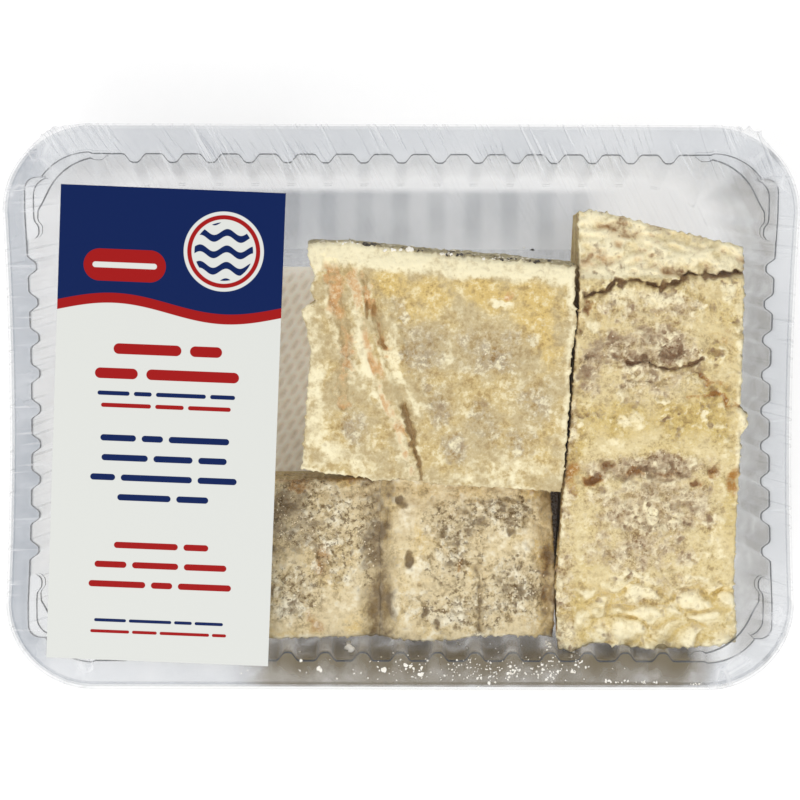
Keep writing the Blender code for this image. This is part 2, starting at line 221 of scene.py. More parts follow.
# ---------------------------------------------------------------- tray
# Thermoformed clear sheet: a flat rim with a turned-down lip, flutes pressed into the walls, and
# a stacking ledge in each corner. Light bent in the tight folds draws them as thin grey lines.
HALF_LENGTH = 111.5
HALF_WIDTH = 80.0
SIDE_BOW = 1.5
CORNER_RADIUS = 24.6
CORNER_X = HALF_LENGTH - CORNER_RADIUS
CORNER_Y = HALF_WIDTH - CORNER_RADIUS
LIP_INSET = 0.6
LIP_Z = 45.3
WALL = 0.8
RIM_Z = 50.0
FLOOR_TOP = 1.4
STEP_Z = 47.4
LEDGE_Z = 45.0
MOUTH = (105.0, 71.5)
FLOOR = (96.5, 62.5)
FLOOR_RADIUS = 28.0
LEDGE_FROM = (82.1, 47.3)
STEP_SIDE = 15.9
NOTCH = math.radians(36.5)
FLUTE_DEPTH = 2.4
FLOOR_SHARE = 0.75                # how deep a flute still is at the floor
PITCH = (10.64, 10.02)
SHOULDER = 0.3
CROWN = 0.07
STATION = 0.74                    # spacing of the columns along the walls
FOLD = 0.6                        # radius of the folds
RIM_BODY = 0.26                   # how dense the clear sheet looks
WALL_BODY = 0.06
FLOOR_BODY = 0.22
FLUTE_SHADOW_STRIPE = 0.08               # painted shadow of the flutes, cast on the floor as denser streaks
FAR_BODY = 0.11                   # denser by this much high on the far wall,
UPPER_BODY = 0.1                  # high on every wall,
LEFT_BODY = 0.26                  # and on the rim's left end,
RIGHT_BODY = -0.04                # where its right end is clearer
NEAR_SHADE = 0.94                 # painted shade and painted reflection of the food on the near wall, on its rim, and on the right wall
RIM_SHADE = (0.71, 0.89)
RIGHT_WALL_SHADE = 0.3
SHADE_GAP = 46.0                  # where the painted shade reaches the floor, in the gap between two cutlets


def smooth(value):
    """Eases a 0-1 value in and out."""
    value = min(max(value, 0.0), 1.0)
    return value * value * (3.0 - 2.0 * value)


def ramp(value, start, end):
    """0 at start and 1 at end, eased in between."""
    return smooth((value - start) / (end - start))


def bow(y):
    """How far the short side is drawn in at this distance from the middle."""
    return SIDE_BOW * max(0.0, 1.0 - (y / CORNER_Y) ** 2)


def square_corner(theta, side, top, fillet):
    """Distance from the corner's centre to a square corner with a fillet."""
    ray = Vector((math.cos(theta), math.sin(theta)))
    centre = Vector((side - fillet, top - fillet))
    along = centre.dot(ray)
    inside = along ** 2 - centre.length_squared + fillet ** 2
    if inside > 0.0:
        hit = ray * (along + math.sqrt(inside))
        if hit.x > centre.x and hit.y > centre.y:
            return hit.length
    return min(side / max(ray.x, 1e-6), top / max(ray.y, 1e-6))


def ledge_radius(theta):
    """The wall below the ledge, a flat arc around the corner's centre."""
    away = math.degrees(theta) - 32.0
    return 13.2 + (1.5 * (away / 58.0) ** 2 if away > 0.0 else 1.8 * (-away / 32.0) ** 3)


def floor_edge(along, side):
    """The floor outline's reach on the long (0) or short (1) side, at this distance along it."""
    over = along - (FLOOR[side] - FLOOR_RADIUS)
    reach = FLOOR[1 - side] - FLOOR_RADIUS
    return reach + math.sqrt(FLOOR_RADIUS ** 2 - max(0.0, over) ** 2)


def tray_stations():
    """A quarter of the tray from the far side's middle to the right side's: for each station
    its outward direction, flute phase, and the rim, mouth, step, ledge and floor it passes."""
    stations = []
    mouth_arc = MOUTH[1] - CORNER_Y
    for x in np.arange(STATION / 2.0, CORNER_X, STATION):
        on_ledge = x > LEDGE_FROM[0]
        ledge = CORNER_Y + ledge_radius(math.pi / 2.0) + 1.0 if on_ledge else None
        stations.append({
            "out": (0.0, 1.0), "phase": x / PITCH[0], "lip": (x, HALF_WIDTH - LIP_INSET),
            "mouth": (x, MOUTH[1]), "step": None, "ledge": (x, ledge) if on_ledge else None,
            "floor": (x, floor_edge(x, 0)), "edge": 0.0})
    start = math.acos((CORNER_X - FLOOR[0] + FLOOR_RADIUS) / FLOOR_RADIUS)
    end = math.asin((CORNER_Y - FLOOR[1] + FLOOR_RADIUS) / FLOOR_RADIUS)
    degrees = [*np.arange(89.0, 38.0, -1.7), 37.6, 36.9, 36.6, 36.4, 36.1, 35.4, 34.4,
               *np.arange(33.0, 0.0, -1.6)]
    for theta in np.radians(degrees):
        ray = Vector((math.cos(theta), math.sin(theta)))
        centre = Vector((CORNER_X, CORNER_Y))
        notched = theta < NOTCH
        side, top = MOUTH[0] - CORNER_X, mouth_arc * math.sin(NOTCH)
        mouth = square_corner(theta, side, top, 3.4) if notched else mouth_arc + 0.4
        step = square_corner(theta, STEP_SIDE, top - 0.2, 5.0) if notched else None
        foot = start + (end - start) * (1.0 - theta / (math.pi / 2.0))
        floor_centre = Vector((FLOOR[0] - FLOOR_RADIUS, FLOOR[1] - FLOOR_RADIUS))
        foot_point = floor_centre + FLOOR_RADIUS * Vector((math.cos(foot), math.sin(foot)))
        ledge = min(ledge_radius(theta), step - 0.3 if notched else mouth)
        stations.append({
            "out": tuple(ray), "phase": 0.5, "lip": tuple(centre + (CORNER_RADIUS - LIP_INSET) * ray),
            "mouth": tuple(centre + mouth * ray), "step": tuple(centre + step * ray) if notched else None,
            "ledge": tuple(centre + ledge * ray), "floor": tuple(foot_point),
            "edge": smooth(1.0 - abs(theta - NOTCH) / math.radians(1.2))})
    for y in np.arange(CORNER_Y, 0.0, -STATION):
        on_ledge = y > LEDGE_FROM[1]
        drawn = bow(y)
        step = CORNER_X + STEP_SIDE if on_ledge else None
        ledge = min(step - 0.3, CORNER_X + ledge_radius(0.0) + 0.12 * (CORNER_Y - y)) if on_ledge else None
        stations.append({
            "out": (1.0, 0.0), "phase": y / PITCH[1],
            "lip": (HALF_LENGTH - LIP_INSET - drawn, y), "mouth": (MOUTH[0] - drawn, y),
            "step": (step - drawn, y) if on_ledge else None,
            "ledge": (ledge - drawn, y) if on_ledge else None,
            "floor": (floor_edge(y, 1) - drawn, y), "edge": 0.0})
    return stations


def tray_profile(station, grow):
    """One column from the lip to the floor: (point, flute share, fold line) at each bend."""
    out = Vector(station["out"]) * grow
    lip, mouth, floor = (Vector(station[key]) for key in ("lip", "mouth", "floor"))
    top, low = RIM_Z - grow, FLOOR_TOP - grow
    mouth, floor = mouth + out, floor + out * 0.6
    lip = lip + Vector(station["out"]) * (grow - WALL)

    def on_wall(z):
        share = (top - z) / (top - low)
        return mouth.lerp(floor, share)

    ledge = Vector(station["ledge"]) + out if station["ledge"] else None
    step = Vector(station["step"]) + out if station["step"] else None
    mouth_share = 0.0 if ledge else 1.0
    notch = station["edge"]
    bends = [((*lip, LIP_Z), 0.0, 0.0), ((*lip, top), 0.0, 0.0), ((*mouth, top), mouth_share, 1.0)]
    for level, before, after in ((STEP_Z - grow, mouth, step), (LEDGE_Z - grow, step or mouth, ledge)):
        for shift in (0.12, -0.12):
            z = level + shift
            if not ledge:
                bends.append(((*on_wall(z), z), 1.0, 0.0))
            elif shift > 0.0 or not after:
                bends.append(((*before, z), 0.0 if before is mouth else 0.5, notch))
            else:
                bends.append(((*after, z), 0.6 if after is ledge else 0.5, 1.0))
    bends.append(((*floor, low), FLOOR_SHARE, 0.25))
    arc_centre = Vector((FLOOR[0] - FLOOR_RADIUS, FLOOR[1] - FLOOR_RADIUS))
    facing = Vector([max(0.0, reach) for reach in floor - arc_centre]).normalized()
    for inset in (2.6, 5.6, 14.0, 24.0):
        bends.append(((*(floor - facing * inset), low), 0.0, 0.0))
    return bends


def softened(bends, radius, steps=3):
    """Rounds each bend of a column."""
    column = [bends[0]]
    for before, here, after in zip(bends, bends[1:], bends[2:]):
        place = Vector(here[0])
        arms = []
        for other in (before, after):
            arm = Vector(other[0]) - place
            arms.append((arm.normalized() * min(radius, arm.length * 0.45), other))
        for step in range(steps):
            t = step / (steps - 1)
            spot = place + arms[0][0] * (1.0 - t) ** 2 + arms[1][0] * t ** 2
            line = here[2] * (1.0 - abs(2.0 * t - 1.0))
            column.append((tuple(spot), here[1], line))
    return column + [bends[-1]]


def all_round(quarter):
    """A quarter's stations, mirrored to go all the way round: each with the signs of its place."""
    for signs in ((1, 1), (1, -1), (-1, -1), (-1, 1)):
        for station in quarter if signs[0] == signs[1] else quarter[::-1]:
            yield station, signs


def open_tree(name, inputs):
    """An empty Geometry Nodes tree with these named inputs, and what it is given."""
    tree = bpy.data.node_groups.new(name, "GeometryNodeTree")
    for way in ("INPUT", "OUTPUT"):
        tree.interface.new_socket("Geometry", in_out=way, socket_type="NodeSocketGeometry")
    for title, value in inputs.items():
        kind = "NodeSocketInt" if isinstance(value, int) else "NodeSocketFloat"
        socket = tree.interface.new_socket(title, in_out="INPUT", socket_type=kind)
        socket.default_value = value
    tree.interface.new_socket("Material", in_out="INPUT", socket_type="NodeSocketMaterial")
    return tree, tree.nodes.new("NodeGroupInput").outputs


def close_tree(tree, given, geometry):
    """Ends a Geometry Nodes tree: instances become real and take the piece's material."""
    real = add(tree, "GeometryNodeRealizeInstances", {0: geometry}).outputs[0]
    finished = add(tree, "GeometryNodeSetMaterial", {0: real, 2: given["Material"]}).outputs[0]
    add(tree, "NodeGroupOutput", {0: finished})
    return tree


def kept(tree, name, vector=False):
    """What keep_values stored on the piece under this name."""
    if tree.bl_idname == "GeometryNodeTree":
        kind = "FLOAT_VECTOR" if vector else "FLOAT"
        return add(tree, "GeometryNodeInputNamedAttribute", {0: name}, data_type=kind).outputs[0]
    return add(tree, "ShaderNodeAttribute", attribute_name=name).outputs["Vector" if vector else "Fac"]


def scaled(tree, vector, factor):
    """A vector made this many times as long."""
    return add(tree, "ShaderNodeVectorMath", {0: vector, 3: factor}, operation="SCALE").outputs[0]


def shifted(tree, geometry, offset):
    """Geometry whose points have moved by this much."""
    return add(tree, "GeometryNodeSetPosition", {0: geometry, 3: offset}).outputs[0]


def flute_tree():
    """Geometry Nodes that press the flutes: each point with room for one moves inwards."""
    inputs = {"Depth": FLUTE_DEPTH * MM, "Shoulder": SHOULDER, "Crown": CROWN}
    tree, given = open_tree("press_flutes", inputs)
    off_centre = calc(tree, "PINGPONG", kept(tree, "phase"), 0.5)
    pressed = remap(tree, off_centre, given["Shoulder"], given["Crown"])
    depth = calc(tree, "MULTIPLY", pressed, given["Depth"], kept(tree, "room"))
    shift = scaled(tree, kept(tree, "inward", vector=True), depth)
    return close_tree(tree, given, shifted(tree, given["Geometry"], shift))


def settle(piece, tree, **values):
    """Runs a Geometry Nodes tree on a piece and leaves its result as the piece's plain mesh."""
    step = piece.modifiers.new(tree.name, "NODES")
    step.node_group = tree
    for item in tree.interface.items_tree:
        if item.in_out == "INPUT" and item.name in values:
            step[item.identifier] = values[item.name]
    evaluated = piece.evaluated_get(bpy.context.evaluated_depsgraph_get())
    mesh = bpy.data.meshes.new_from_object(evaluated)
    piece.modifiers.remove(step)
    piece.data = mesh
    mesh.name = piece.name
    return piece


def roughen(tree, shader, height, strength, distance):
    """Bumps a finish by this height."""
    wires = {"Strength": strength, "Distance": distance, "Height": height}
    feed(shader, Normal=add(tree, "ShaderNodeBump", wires).outputs[0])


def edge_on(tree, falloff, power, amount):
    """Up to this much where a sheet is seen edge-on."""
    facing = add(tree, "ShaderNodeLayerWeight", {"Blend": falloff}).outputs["Facing"]
    return calc(tree, "MULTIPLY", calc(tree, "POWER", facing, power), amount)


def clear_sheet(name, tint, shade_tint, fold_tint):
    """Clear plastic whose density is kept on its points. It is greyest along its folds, and in places it
    carries painted shade and painted reflection of the food, laid on in brown patches."""
    finish, tree, shader = new_material(name, Roughness=0.2, IOR=1.5, Specular_IOR_Level=0.3)
    place = place_on(tree)
    line = remap(tree, kept(tree, "fold"), 0.15, 0.6)
    cloud = grain(tree, place, 24.0)
    patchy = remap(tree, grain(tree, place, 6.0, 3.0), 0.2, 0.6, 0.5, 1.0)
    # Where the points carry painted shade, the sheet is tinted brown and made denser, in patches.
    dried = calc(tree, "MULTIPLY", kept(tree, "brine"), patchy)
    tone = blend(tree, cloud, tint, tuple(channel * 0.9 for channel in tint[:3]) + (1.0,))
    tone = blend(tree, remap(tree, dried, 0.0, 0.5), tone, shade_tint)
    dense = calc(tree, "MULTIPLY", kept(tree, "body"), remap(tree, cloud, 0.3, 0.7, 0.85, 1.15))
    dense = calc(tree, "MULTIPLY_ADD", dried, 0.7, dense)
    dense = calc(tree, "MAXIMUM", dense, calc(tree, "MULTIPLY", line, 0.78))
    dense = calc(tree, "ADD", dense, edge_on(tree, 0.4, 2.0, 0.08))
    feed(shader, Base_Color=blend(tree, line, tone, fold_tint), Alpha=calc(tree, "MINIMUM", dense, 0.96))
    roughen(tree, shader, grain(tree, place, 5.0, 1.0), 0.15, 0.0003)
    return finish


def sheet_looks(x, y, z, signs, station):
    """How dense the sheet looks at a point of the mirrored quarter, with painted flute shadows on the floor,
    and how much painted shade and painted reflection of the food it carries: on the near wall and rim, less
    where the flutes are pressed, down to the floor in the gap between two cutlets, and on the right wall."""
    east, north = signs[0] * x, signs[1] * y
    wall = ramp(z, RIM_Z - 0.3, RIM_Z - 1.3)
    within = ramp(y, MOUTH[1] + 3.0, MOUTH[1]) * ramp(x, MOUTH[0] + 2.0, MOUTH[0] - 1.0)
    floor = ramp(z, FLOOR_TOP + 3.0, FLOOR_TOP + 1.0) * ramp(east, 66.0, 48.0)
    floor *= ramp(math.dist((x, y), station["floor"]), 3.0, 4.0)
    flute_shadow = 0.0
    # Painted shadow stripes on the floor, as if cast by the flutes.
    if max(station["out"]) == 1.0:
        along = x / PITCH[0] if station["out"][1] == 1.0 else y / PITCH[1]
        flute_shadow = floor * smooth(abs((along % 1.0) - 0.5) * 4.0 - 0.6)
        flute_shadow *= ramp(max(x / FLOOR[0], y / FLOOR[1]), 0.6, 0.725)
    far_wall = FAR_BODY * ramp(north, 56.0, 64.0) * ramp(z, 10.0, 24.0) * within
    ends = LEFT_BODY * ramp(-east, 98.0, 104.0) + RIGHT_BODY * ramp(east, 100.0, 106.0)
    body = (RIM_BODY + ends) * (1.0 - wall) + (WALL_BODY + UPPER_BODY * ramp(z, 28.0, 46.0) + far_wall) * wall
    body += (FLOOR_BODY - WALL_BODY + 0.05 * ramp(east, 10.0, -20.0)) * floor + FLUTE_SHADOW_STRIPE * flute_shadow
    pressed = ramp(abs((station["phase"] + 0.5) % 1.0 - 0.5), 0.3, 0.1) * wall
    # The near wall and rim are darkened with painted shade and painted reflection of the food; the right wall
    # less so.
    near = ramp(-north, 58.0, 62.0) * ramp(east, 94.0, 78.0) * ramp(east, -52.0, -30.0)
    near *= 0.95 - 0.3 * pressed
    shade_at_gap = ramp(abs(east - SHADE_GAP), 8.0, 4.0) * ramp(z, 2.0, 6.0)
    near *= max(0.15 + 0.85 * ramp(z, 22.0, 32.0), shade_at_gap)
    near *= 1.0 - 0.5 * ramp(y, HALF_WIDTH - 1.6, HALF_WIDTH - 0.8)
    if z < RIM_Z - 1.0:
        near *= NEAR_SHADE
    else:
        near *= RIM_SHADE[0] + (RIM_SHADE[1] - RIM_SHADE[0]) * ramp(y, MOUTH[1] + 6.0, MOUTH[1] + 2.0)
    return body, max(near, RIGHT_WALL_SHADE * wall * ramp(east, 92.0, 98.0) * within)


def make_tray(finish):
    quarter = tray_stations()
    points, faces, lips = [], [], []
    values = {name: [] for name in ("room", "phase", "inward", "fold", "body", "brine")}
    for grow in (0.0, WALL):
        ring = []
        for station, signs in all_round(quarter):
            inward = (-signs[0] * station["out"][0], -signs[1] * station["out"][1], 0.0)
            column = []
            for (x, y, z), share, line in softened(tray_profile(station, grow), FOLD):
                column.append(len(points))
                points.append((signs[0] * x, signs[1] * y, z))
                found = (share, station["phase"], inward, line if grow == 0.0 else 0.0,
                         *sheet_looks(x, y, z, signs, station))
                for name, value in zip(values, found):
                    values[name].append(value)
            ring.append(column)
        for left, right in zip(ring, ring[1:] + ring[:1]):
            for a in range(len(left) - 1):
                corners = (left[a], left[a + 1], right[a + 1], right[a])
                faces.append(corners if grow == 0.0 else corners[::-1])
        middle = [column[-1] for column in ring]
        faces.append(middle[::-1] if grow == 0.0 else middle)
        lips.append([column[0] for column in ring])
    inner, outer = lips
    for k in range(len(inner)):
        after = (k + 1) % len(inner)
        faces.append((inner[k], inner[after], outer[after], outer[k]))
    tray = new_piece("clear_tray", points, faces, finish)
    keep_values(tray, **values)
    return settle(tray, flute_tree(), Material=finish)


tray_finish = clear_sheet("clear_plastic", rgb(158, 166, 177), rgb(112, 100, 74), rgb(50, 56, 64))
tray = make_tray(tray_finish)
tray.data.shade_smooth()
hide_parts("tray")
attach(tray, "root")


# ---------------------------------------------------------------- pad
# A folded pad of absorbent tissue lies on the tray's floor. It is pressed with short slanting
# dimples in rows, and its edges are sealed flat.
PAD_HALF_LENGTH = 80.0
PAD_SPAN = (-56.0, 36.5)
PAD_BASE = 1.7
PAD_THICK = 2.0
PAD_SEAL = 3.0
PAD_CELL = 0.7
DIMPLE_ROW = 2.7
DIMPLE_RUN = 5.4
DIMPLE_DEPTH = 0.55
ROW_SLANT = 0.62
RUN_SLANT = 0.45
PAD_EDGE = 0.5


def quilt_tree():
    """Geometry Nodes that press slanting dimples into the pad's top."""
    inputs = {"Row": DIMPLE_ROW * MM, "Run": DIMPLE_RUN * MM, "Depth": DIMPLE_DEPTH * MM}
    tree, given = open_tree("press_dimples", inputs)
    axes = axes_of(tree, add(tree, "GeometryNodeInputPosition").outputs[0])
    across = calc(tree, "SUBTRACT", axes["X"], calc(tree, "MULTIPLY", axes["Y"], ROW_SLANT))
    along = calc(tree, "ADD", axes["Y"], calc(tree, "MULTIPLY", axes["X"], RUN_SLANT))
    row = calc(tree, "DIVIDE", across, given["Row"])
    run = calc(tree, "DIVIDE", along, given["Run"])
    run = calc(tree, "ADD", run, calc(tree, "MULTIPLY", calc(tree, "FLOOR", row), 0.5))
    row_dip = remap(tree, calc(tree, "PINGPONG", row, 0.5), 0.05, 0.45)
    dip = calc(tree, "MULTIPLY", row_dip, remap(tree, calc(tree, "PINGPONG", run, 0.5), 0.04, 0.3))
    room = kept(tree, "room")
    depth = calc(tree, "MULTIPLY", dip, given["Depth"], room, -1.0)
    shift = add(tree, "ShaderNodeCombineXYZ", {2: depth}).outputs[0]
    wires = {0: shifted(tree, given["Geometry"], shift), 2: "dip", 3: calc(tree, "MULTIPLY", dip, room)}
    noted = add(tree, "GeometryNodeStoreNamedAttribute", wires, data_type="FLOAT", domain="POINT")
    return close_tree(tree, given, noted.outputs[0])


def sheet_faces(count_u, count_v):
    """Faces of a closed sheet: a grid of points, a like grid below it, and the edge between."""
    layer = (count_u + 1) * (count_v + 1)

    def at(i, j, level=0):
        return level * layer + i * (count_v + 1) + j

    faces = []
    for i in range(count_u):
        for j in range(count_v):
            faces.append((at(i, j), at(i + 1, j), at(i + 1, j + 1), at(i, j + 1)))
            faces.append((at(i, j, 1), at(i, j + 1, 1), at(i + 1, j + 1, 1), at(i + 1, j, 1)))
    rim = [(i, 0) for i in range(count_u)] + [(count_u, j) for j in range(count_v)]
    rim += [(i, count_v) for i in range(count_u, 0, -1)] + [(0, j) for j in range(count_v, 0, -1)]
    for here, after in zip(rim, rim[1:] + rim[:1]):
        faces.append((at(*here), at(*here, 1), at(*after, 1), at(*after)))
    return faces


def make_pad(finish):
    count_u = round(2.0 * PAD_HALF_LENGTH / PAD_CELL)
    count_v = round((PAD_SPAN[1] - PAD_SPAN[0]) / PAD_CELL)
    points, room = [], []
    for top in (True, False):
        for i in range(count_u + 1):
            for j in range(count_v + 1):
                x = -PAD_HALF_LENGTH + 2.0 * PAD_HALF_LENGTH * i / count_u
                y = PAD_SPAN[0] + (PAD_SPAN[1] - PAD_SPAN[0]) * j / count_v
                rim = min(PAD_HALF_LENGTH - abs(x), y - PAD_SPAN[0], PAD_SPAN[1] - y)
                full = smooth(rim / PAD_SEAL)
                puff = 0.08 * noise.noise(Vector((x / 9.0, y / 9.0, 3.0)))
                z = PAD_BASE + (PAD_EDGE + (PAD_THICK - 0.6 + puff) * full if top else 0.0)
                points.append((x, y, z))
                room.append(full if top else 0.0)
    pad = new_piece("absorbent_pad", points, sheet_faces(count_u, count_v), finish)
    keep_values(pad, room=room)
    return settle(pad, quilt_tree(), Material=finish)


# The pad glows faintly in its own colour: painted light that brightens it where the label and cutlets shade
# it.
pad_finish, tree, shader = new_material("pad_tissue", Roughness=0.95, Emission_Strength=0.16)
place = place_on(tree)
axes = axes_of(tree, place)
fibre = grain(tree, place, 0.7, 4.0, 0.7)
tissue = blend(tree, grain(tree, place, 14.0), rgb(252, 248, 236), rgb(244, 236, 218))
# The dimples are darkened with painted shade.
tissue = blend(tree, calc(tree, "MULTIPLY", kept(tree, "dip"), 0.42), tissue, rgb(176, 162, 134))
# The pad turns brown at its near right, where it shows in the gap between the middle and right cutlets:
# painted shade.
gap_shade = calc(tree, "MULTIPLY", remap(tree, axes["X"], 0.0, 0.03), remap(tree, axes["Y"], -0.008, -0.022))
tissue = blend(tree, gap_shade, tissue, rgb(86, 60, 28))
tissue = blend(tree, remap(tree, fibre, 0.35, 0.7, 0.0, 0.3), tissue, rgb(250, 246, 236))
feed(shader, Base_Color=tissue, Emission_Color=tissue)
roughen(tree, shader, fibre, 0.6, 0.0002)
pad = make_pad(pad_finish)
pad.data.shade_smooth()
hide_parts("pad")
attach(pad, "root")


# ---------------------------------------------------------------- cutlets
# Five pieces sawn across a salted, dried ling. Their sawn faces are granular, golden where dense,
# drab where porous and rusty in the clefts, and skin is left on what was the fish's outside.
# Clefts and pores take a dark mark, and so, as painted shade, do hollows, creases, cracks and the valleys and
# gaps between pieces.
RUN_OUT = 4.0                     # how fast an edge's waves die out inwards
TOOTH_RUN_OUT = 26.0
EDGE_STEPS = 1600                 # how finely an edge's fraying is drawn
SIDE_STEP = 1.1                   # how far apart the rings of points down a side are
PAD_BED = 4.0                     # where the cutlets that lie on the pad end, and the top one
LOWER_BED = 26.9
CENTRE_TOP = 47.8
RIGHT_TOP = 46.0
LEFT_TOP = 35.4                   # at its far side, and the next one's; both rise towards the near
MIDDLE_TOP = 35.8
LOWER_TOP = 26.6
REST_GAP = 0.3
SKIN, DARK_SKIN, SALT = rgb(168, 158, 126), rgb(70, 62, 50), rgb(250, 244, 228)


def field(x, y, seed, scale):
    """Smooth noise of this scale in millimetres at each point, about -0.6 to 0.6."""
    return np.array([noise.noise((a, b, seed)) for a, b in zip(np.ravel(x / scale), np.ravel(y / scale))]
                    ).reshape(np.shape(x))


def eased(value):
    """Eases 0-1 values in and out."""
    value = np.clip(value, 0.0, 1.0)
    return value * value * (3.0 - 2.0 * value)


def groove(x, y, path, width):
    """1 on a path of points, easing to 0 at this distance from it."""
    nearest = np.full(np.shape(x), 1e9)
    for (ax, ay), (bx, by) in zip(path, path[1:]):
        along = ((x - ax) * (bx - ax) + (y - ay) * (by - ay)) / ((bx - ax) ** 2 + (by - ay) ** 2)
        along = np.clip(along, 0.0, 1.0)
        nearest = np.minimum(nearest, np.hypot(x - ax - along * (bx - ax), y - ay - along * (by - ay)))
    return eased(1.0 - nearest / width)


def crags(x, y, seed, scale):
    """Lumps of this size: 1 on a lump, 0 in the creases between lumps."""
    rises = []
    for a, b in zip(np.ravel(x / scale), np.ravel(y / scale)):
        first, second = noise.voronoi((a, b, seed))[0][:2]
        rises.append(second - first)
    return np.clip(np.reshape(rises, np.shape(x)) / 0.45, 0.0, 1.0)


def spot(x, y, centre_x, centre_y, reach_x, reach_y):
    """1 in the middle of an oval patch, easing to 0 at its edge."""
    return eased(1.35 - 1.35 * np.hypot((x - centre_x) / reach_x, (y - centre_y) / reach_y))


def at_least(found, **amounts):
    """Raises kinds to these amounts where they are less."""
    for kind, amount in amounts.items():
        found[kind] = np.maximum(found[kind], amount)


def wandering(x, y, seed, spots, paths):
    """Patches and lines of a sawn face, with edges that wander as the flesh's own do. Returns how
    much each point is of each kind, and how deep the lines are cut there. A patch is its centre,
    reach and amount; a line is its kind, width, amount, depth and path."""
    wander_x = x + 1.5 * field(x, y, seed, 4.5) + 0.6 * field(x, y, seed + 1.0, 1.4)
    wander_y = y + 1.5 * field(x, y, seed + 2.0, 4.0) + 0.6 * field(x, y, seed + 3.0, 1.3)
    found = {kind: np.zeros(np.shape(x)) for kind in ("gold", "pale", "drab", "rust", "cleft", "rough")}
    depth = np.zeros(np.shape(x))
    for kind, patches in spots.items():
        for *oval, amount in patches:
            at_least(found, **{kind: amount * spot(wander_x, wander_y, *oval)})
    for kind, width, amount, deep, path in paths:
        ragged = width * np.maximum(0.3, 1.0 + 1.5 * field(x, y, seed + 4.0, 1.7))
        here = groove(x + (wander_x - x) * 0.5, y + (wander_y - y) * 0.5, path, ragged)
        at_least(found, **{kind: amount * here})
        depth = np.maximum(depth, deep * here)
    return found, depth


def cut_plan(corners, u, v):
    """Where each share of a four-cornered block is, seen from above."""
    near = corners[0] + u[..., None] * (corners[1] - corners[0])
    far = corners[3] + u[..., None] * (corners[2] - corners[3])
    return near + v[..., None] * (far - near)


def frayed(length, seed):
    """How far a sawn edge stands out along its length: ragged, with tufts and fine fibres."""
    line = np.linspace(0.0, length, EDGE_STEPS)
    teeth = 0.45 * field(line, line * 0.0, seed, 1.3)
    teeth += 0.9 * np.maximum(0.0, field(line, line * 0.0, seed + 9.0, 2.4) - 0.1)
    teeth += 1.3 * np.maximum(0.0, field(line, line * 0.0, seed + 19.0, 0.8) - 0.2)
    return teeth - 0.25


def sawn_plan(corners, u, v, waves, frays, seed):
    """The top's plan, its edges bent by their waves and frayed."""
    spread = cut_plan(corners, u, v)
    for k, (share, closeness) in enumerate(((u, 1.0 - v), (v, u), (1.0 - u, v), (1.0 - v, 1.0 - u))):
        side = corners[(k + 1) % 4] - corners[k]
        length = np.hypot(*side)
        out = np.array((side[1], -side[0])) / length
        stops = ((0.0, 0.0), *(waves[k] if waves else ()), (1.0, 0.0))
        wave = np.interp(share, *zip(*stops)) * closeness ** RUN_OUT
        teeth = np.interp(share, np.linspace(0.0, 1.0, EDGE_STEPS), frayed(length, seed + k))
        wave += frays[k] * teeth * closeness ** TOOTH_RUN_OUT
        spread = spread + out * wave[..., None]
    return spread[..., 0], spread[..., 1]


def sawn_relief(x, y, kinds, z, rim, seed):
    """The sawn top's height, and for each point its three tones, three marks and salt."""
    lump, crumb, speck = (field(x, y, seed + k, scale) for k, scale in enumerate((3.2, 1.4, 0.65)))
    crag = crags(x + 1.8 * lump, y + 1.8 * crumb, seed, 4.2)
    rough = kinds.get("craggy", np.maximum(kinds["drab"], kinds["rough"]))
    rise = 0.9 * lump + 0.8 * crumb + 0.25 * speck + 0.5 * rough * (crag - 0.7)
    # Crests of the lumps are lightened with painted highlight, partly salt crust, and hollows and creases are
    # darkened with painted shade.
    lit_crest, shaded_hollow = eased((rise - 0.1) / 0.4), eased((-0.12 - rise) / 0.4)
    crease = rough * eased(0.9 - 2.4 * crag) * eased(0.7 + 2.0 * field(x, y, seed + 7.0, 6.0))
    z = z + (0.22 + 0.95 * rough) * rise - 0.7 * crease
    z = z - 0.9 * (1.0 - np.sqrt(1.0 - np.clip(1.0 - rim / 1.1, 0.0, 1.0) ** 2))
    edge = eased(1.0 - rim / 2.0) * eased(0.5 + 1.5 * lump)
    at_least(kinds, pale=np.maximum(0.8 * edge, (0.2 + 0.5 * rough) * lit_crest))
    at_least(kinds, cleft=np.maximum(shaded_hollow * (0.15 + 0.4 * rough), 0.5 * crease))
    salt = 0.05 + 0.95 * kinds.get("salt", kinds["drab"])
    salt = salt * eased(0.6 + 1.8 * field(x, y, seed + 6.0, 8.0))
    looks = (kinds["gold"], kinds["pale"], kinds["drab"], kinds["rust"], 0.0 * x, kinds["cleft"], salt)
    return z, np.stack(looks, -1).reshape(-1, len(looks))


def sawn_sides(start, base, bed, skin, seed):
    """Rings of points from the top's edge to the bed, with the same seven looks for each point."""
    middle = base.mean(0)
    levels = round((start[0, 2] - bed) / SIDE_STEP)
    for level in range(1, levels + 1):
        share = level / levels
        flat = start[:, :2] + (base - start[:, :2]) * share
        height = start[:, 2] + (bed - start[:, 2]) * share
        layer = field(flat[:, 0] + flat[:, 1] * 0.3, height * 6.0, seed, 9.0)
        crumb = field(flat[:, 0] + 2.0 * height, flat[:, 1] - height, seed + 2.0, 1.0)
        inset = (0.35 + 0.5 * layer + 0.35 * crumb) * min(1.0, (1.0 - share) * 6.0, share * 9.0)
        flap = skin * 1.3 * eased(share * 12.0) * eased((1.0 - share) * 3.0) * (1.0 + layer)
        inward = middle - flat
        inward = inward / np.hypot(inward[:, 0], inward[:, 1])[:, None]
        flat = flat + inward * (np.maximum(inset, 0.0) - flap)[:, None]
        even = 0.0 * layer
        looks = (0.8 + 0.4 * layer, 0.2 + even, 0.2 * eased(-layer * 2.0), 0.26 + even, skin,
                 0.1 + 0.25 * eased(-crumb * 2.0), 0.35 + even)
        yield np.column_stack((flat, height)), np.column_stack(looks)


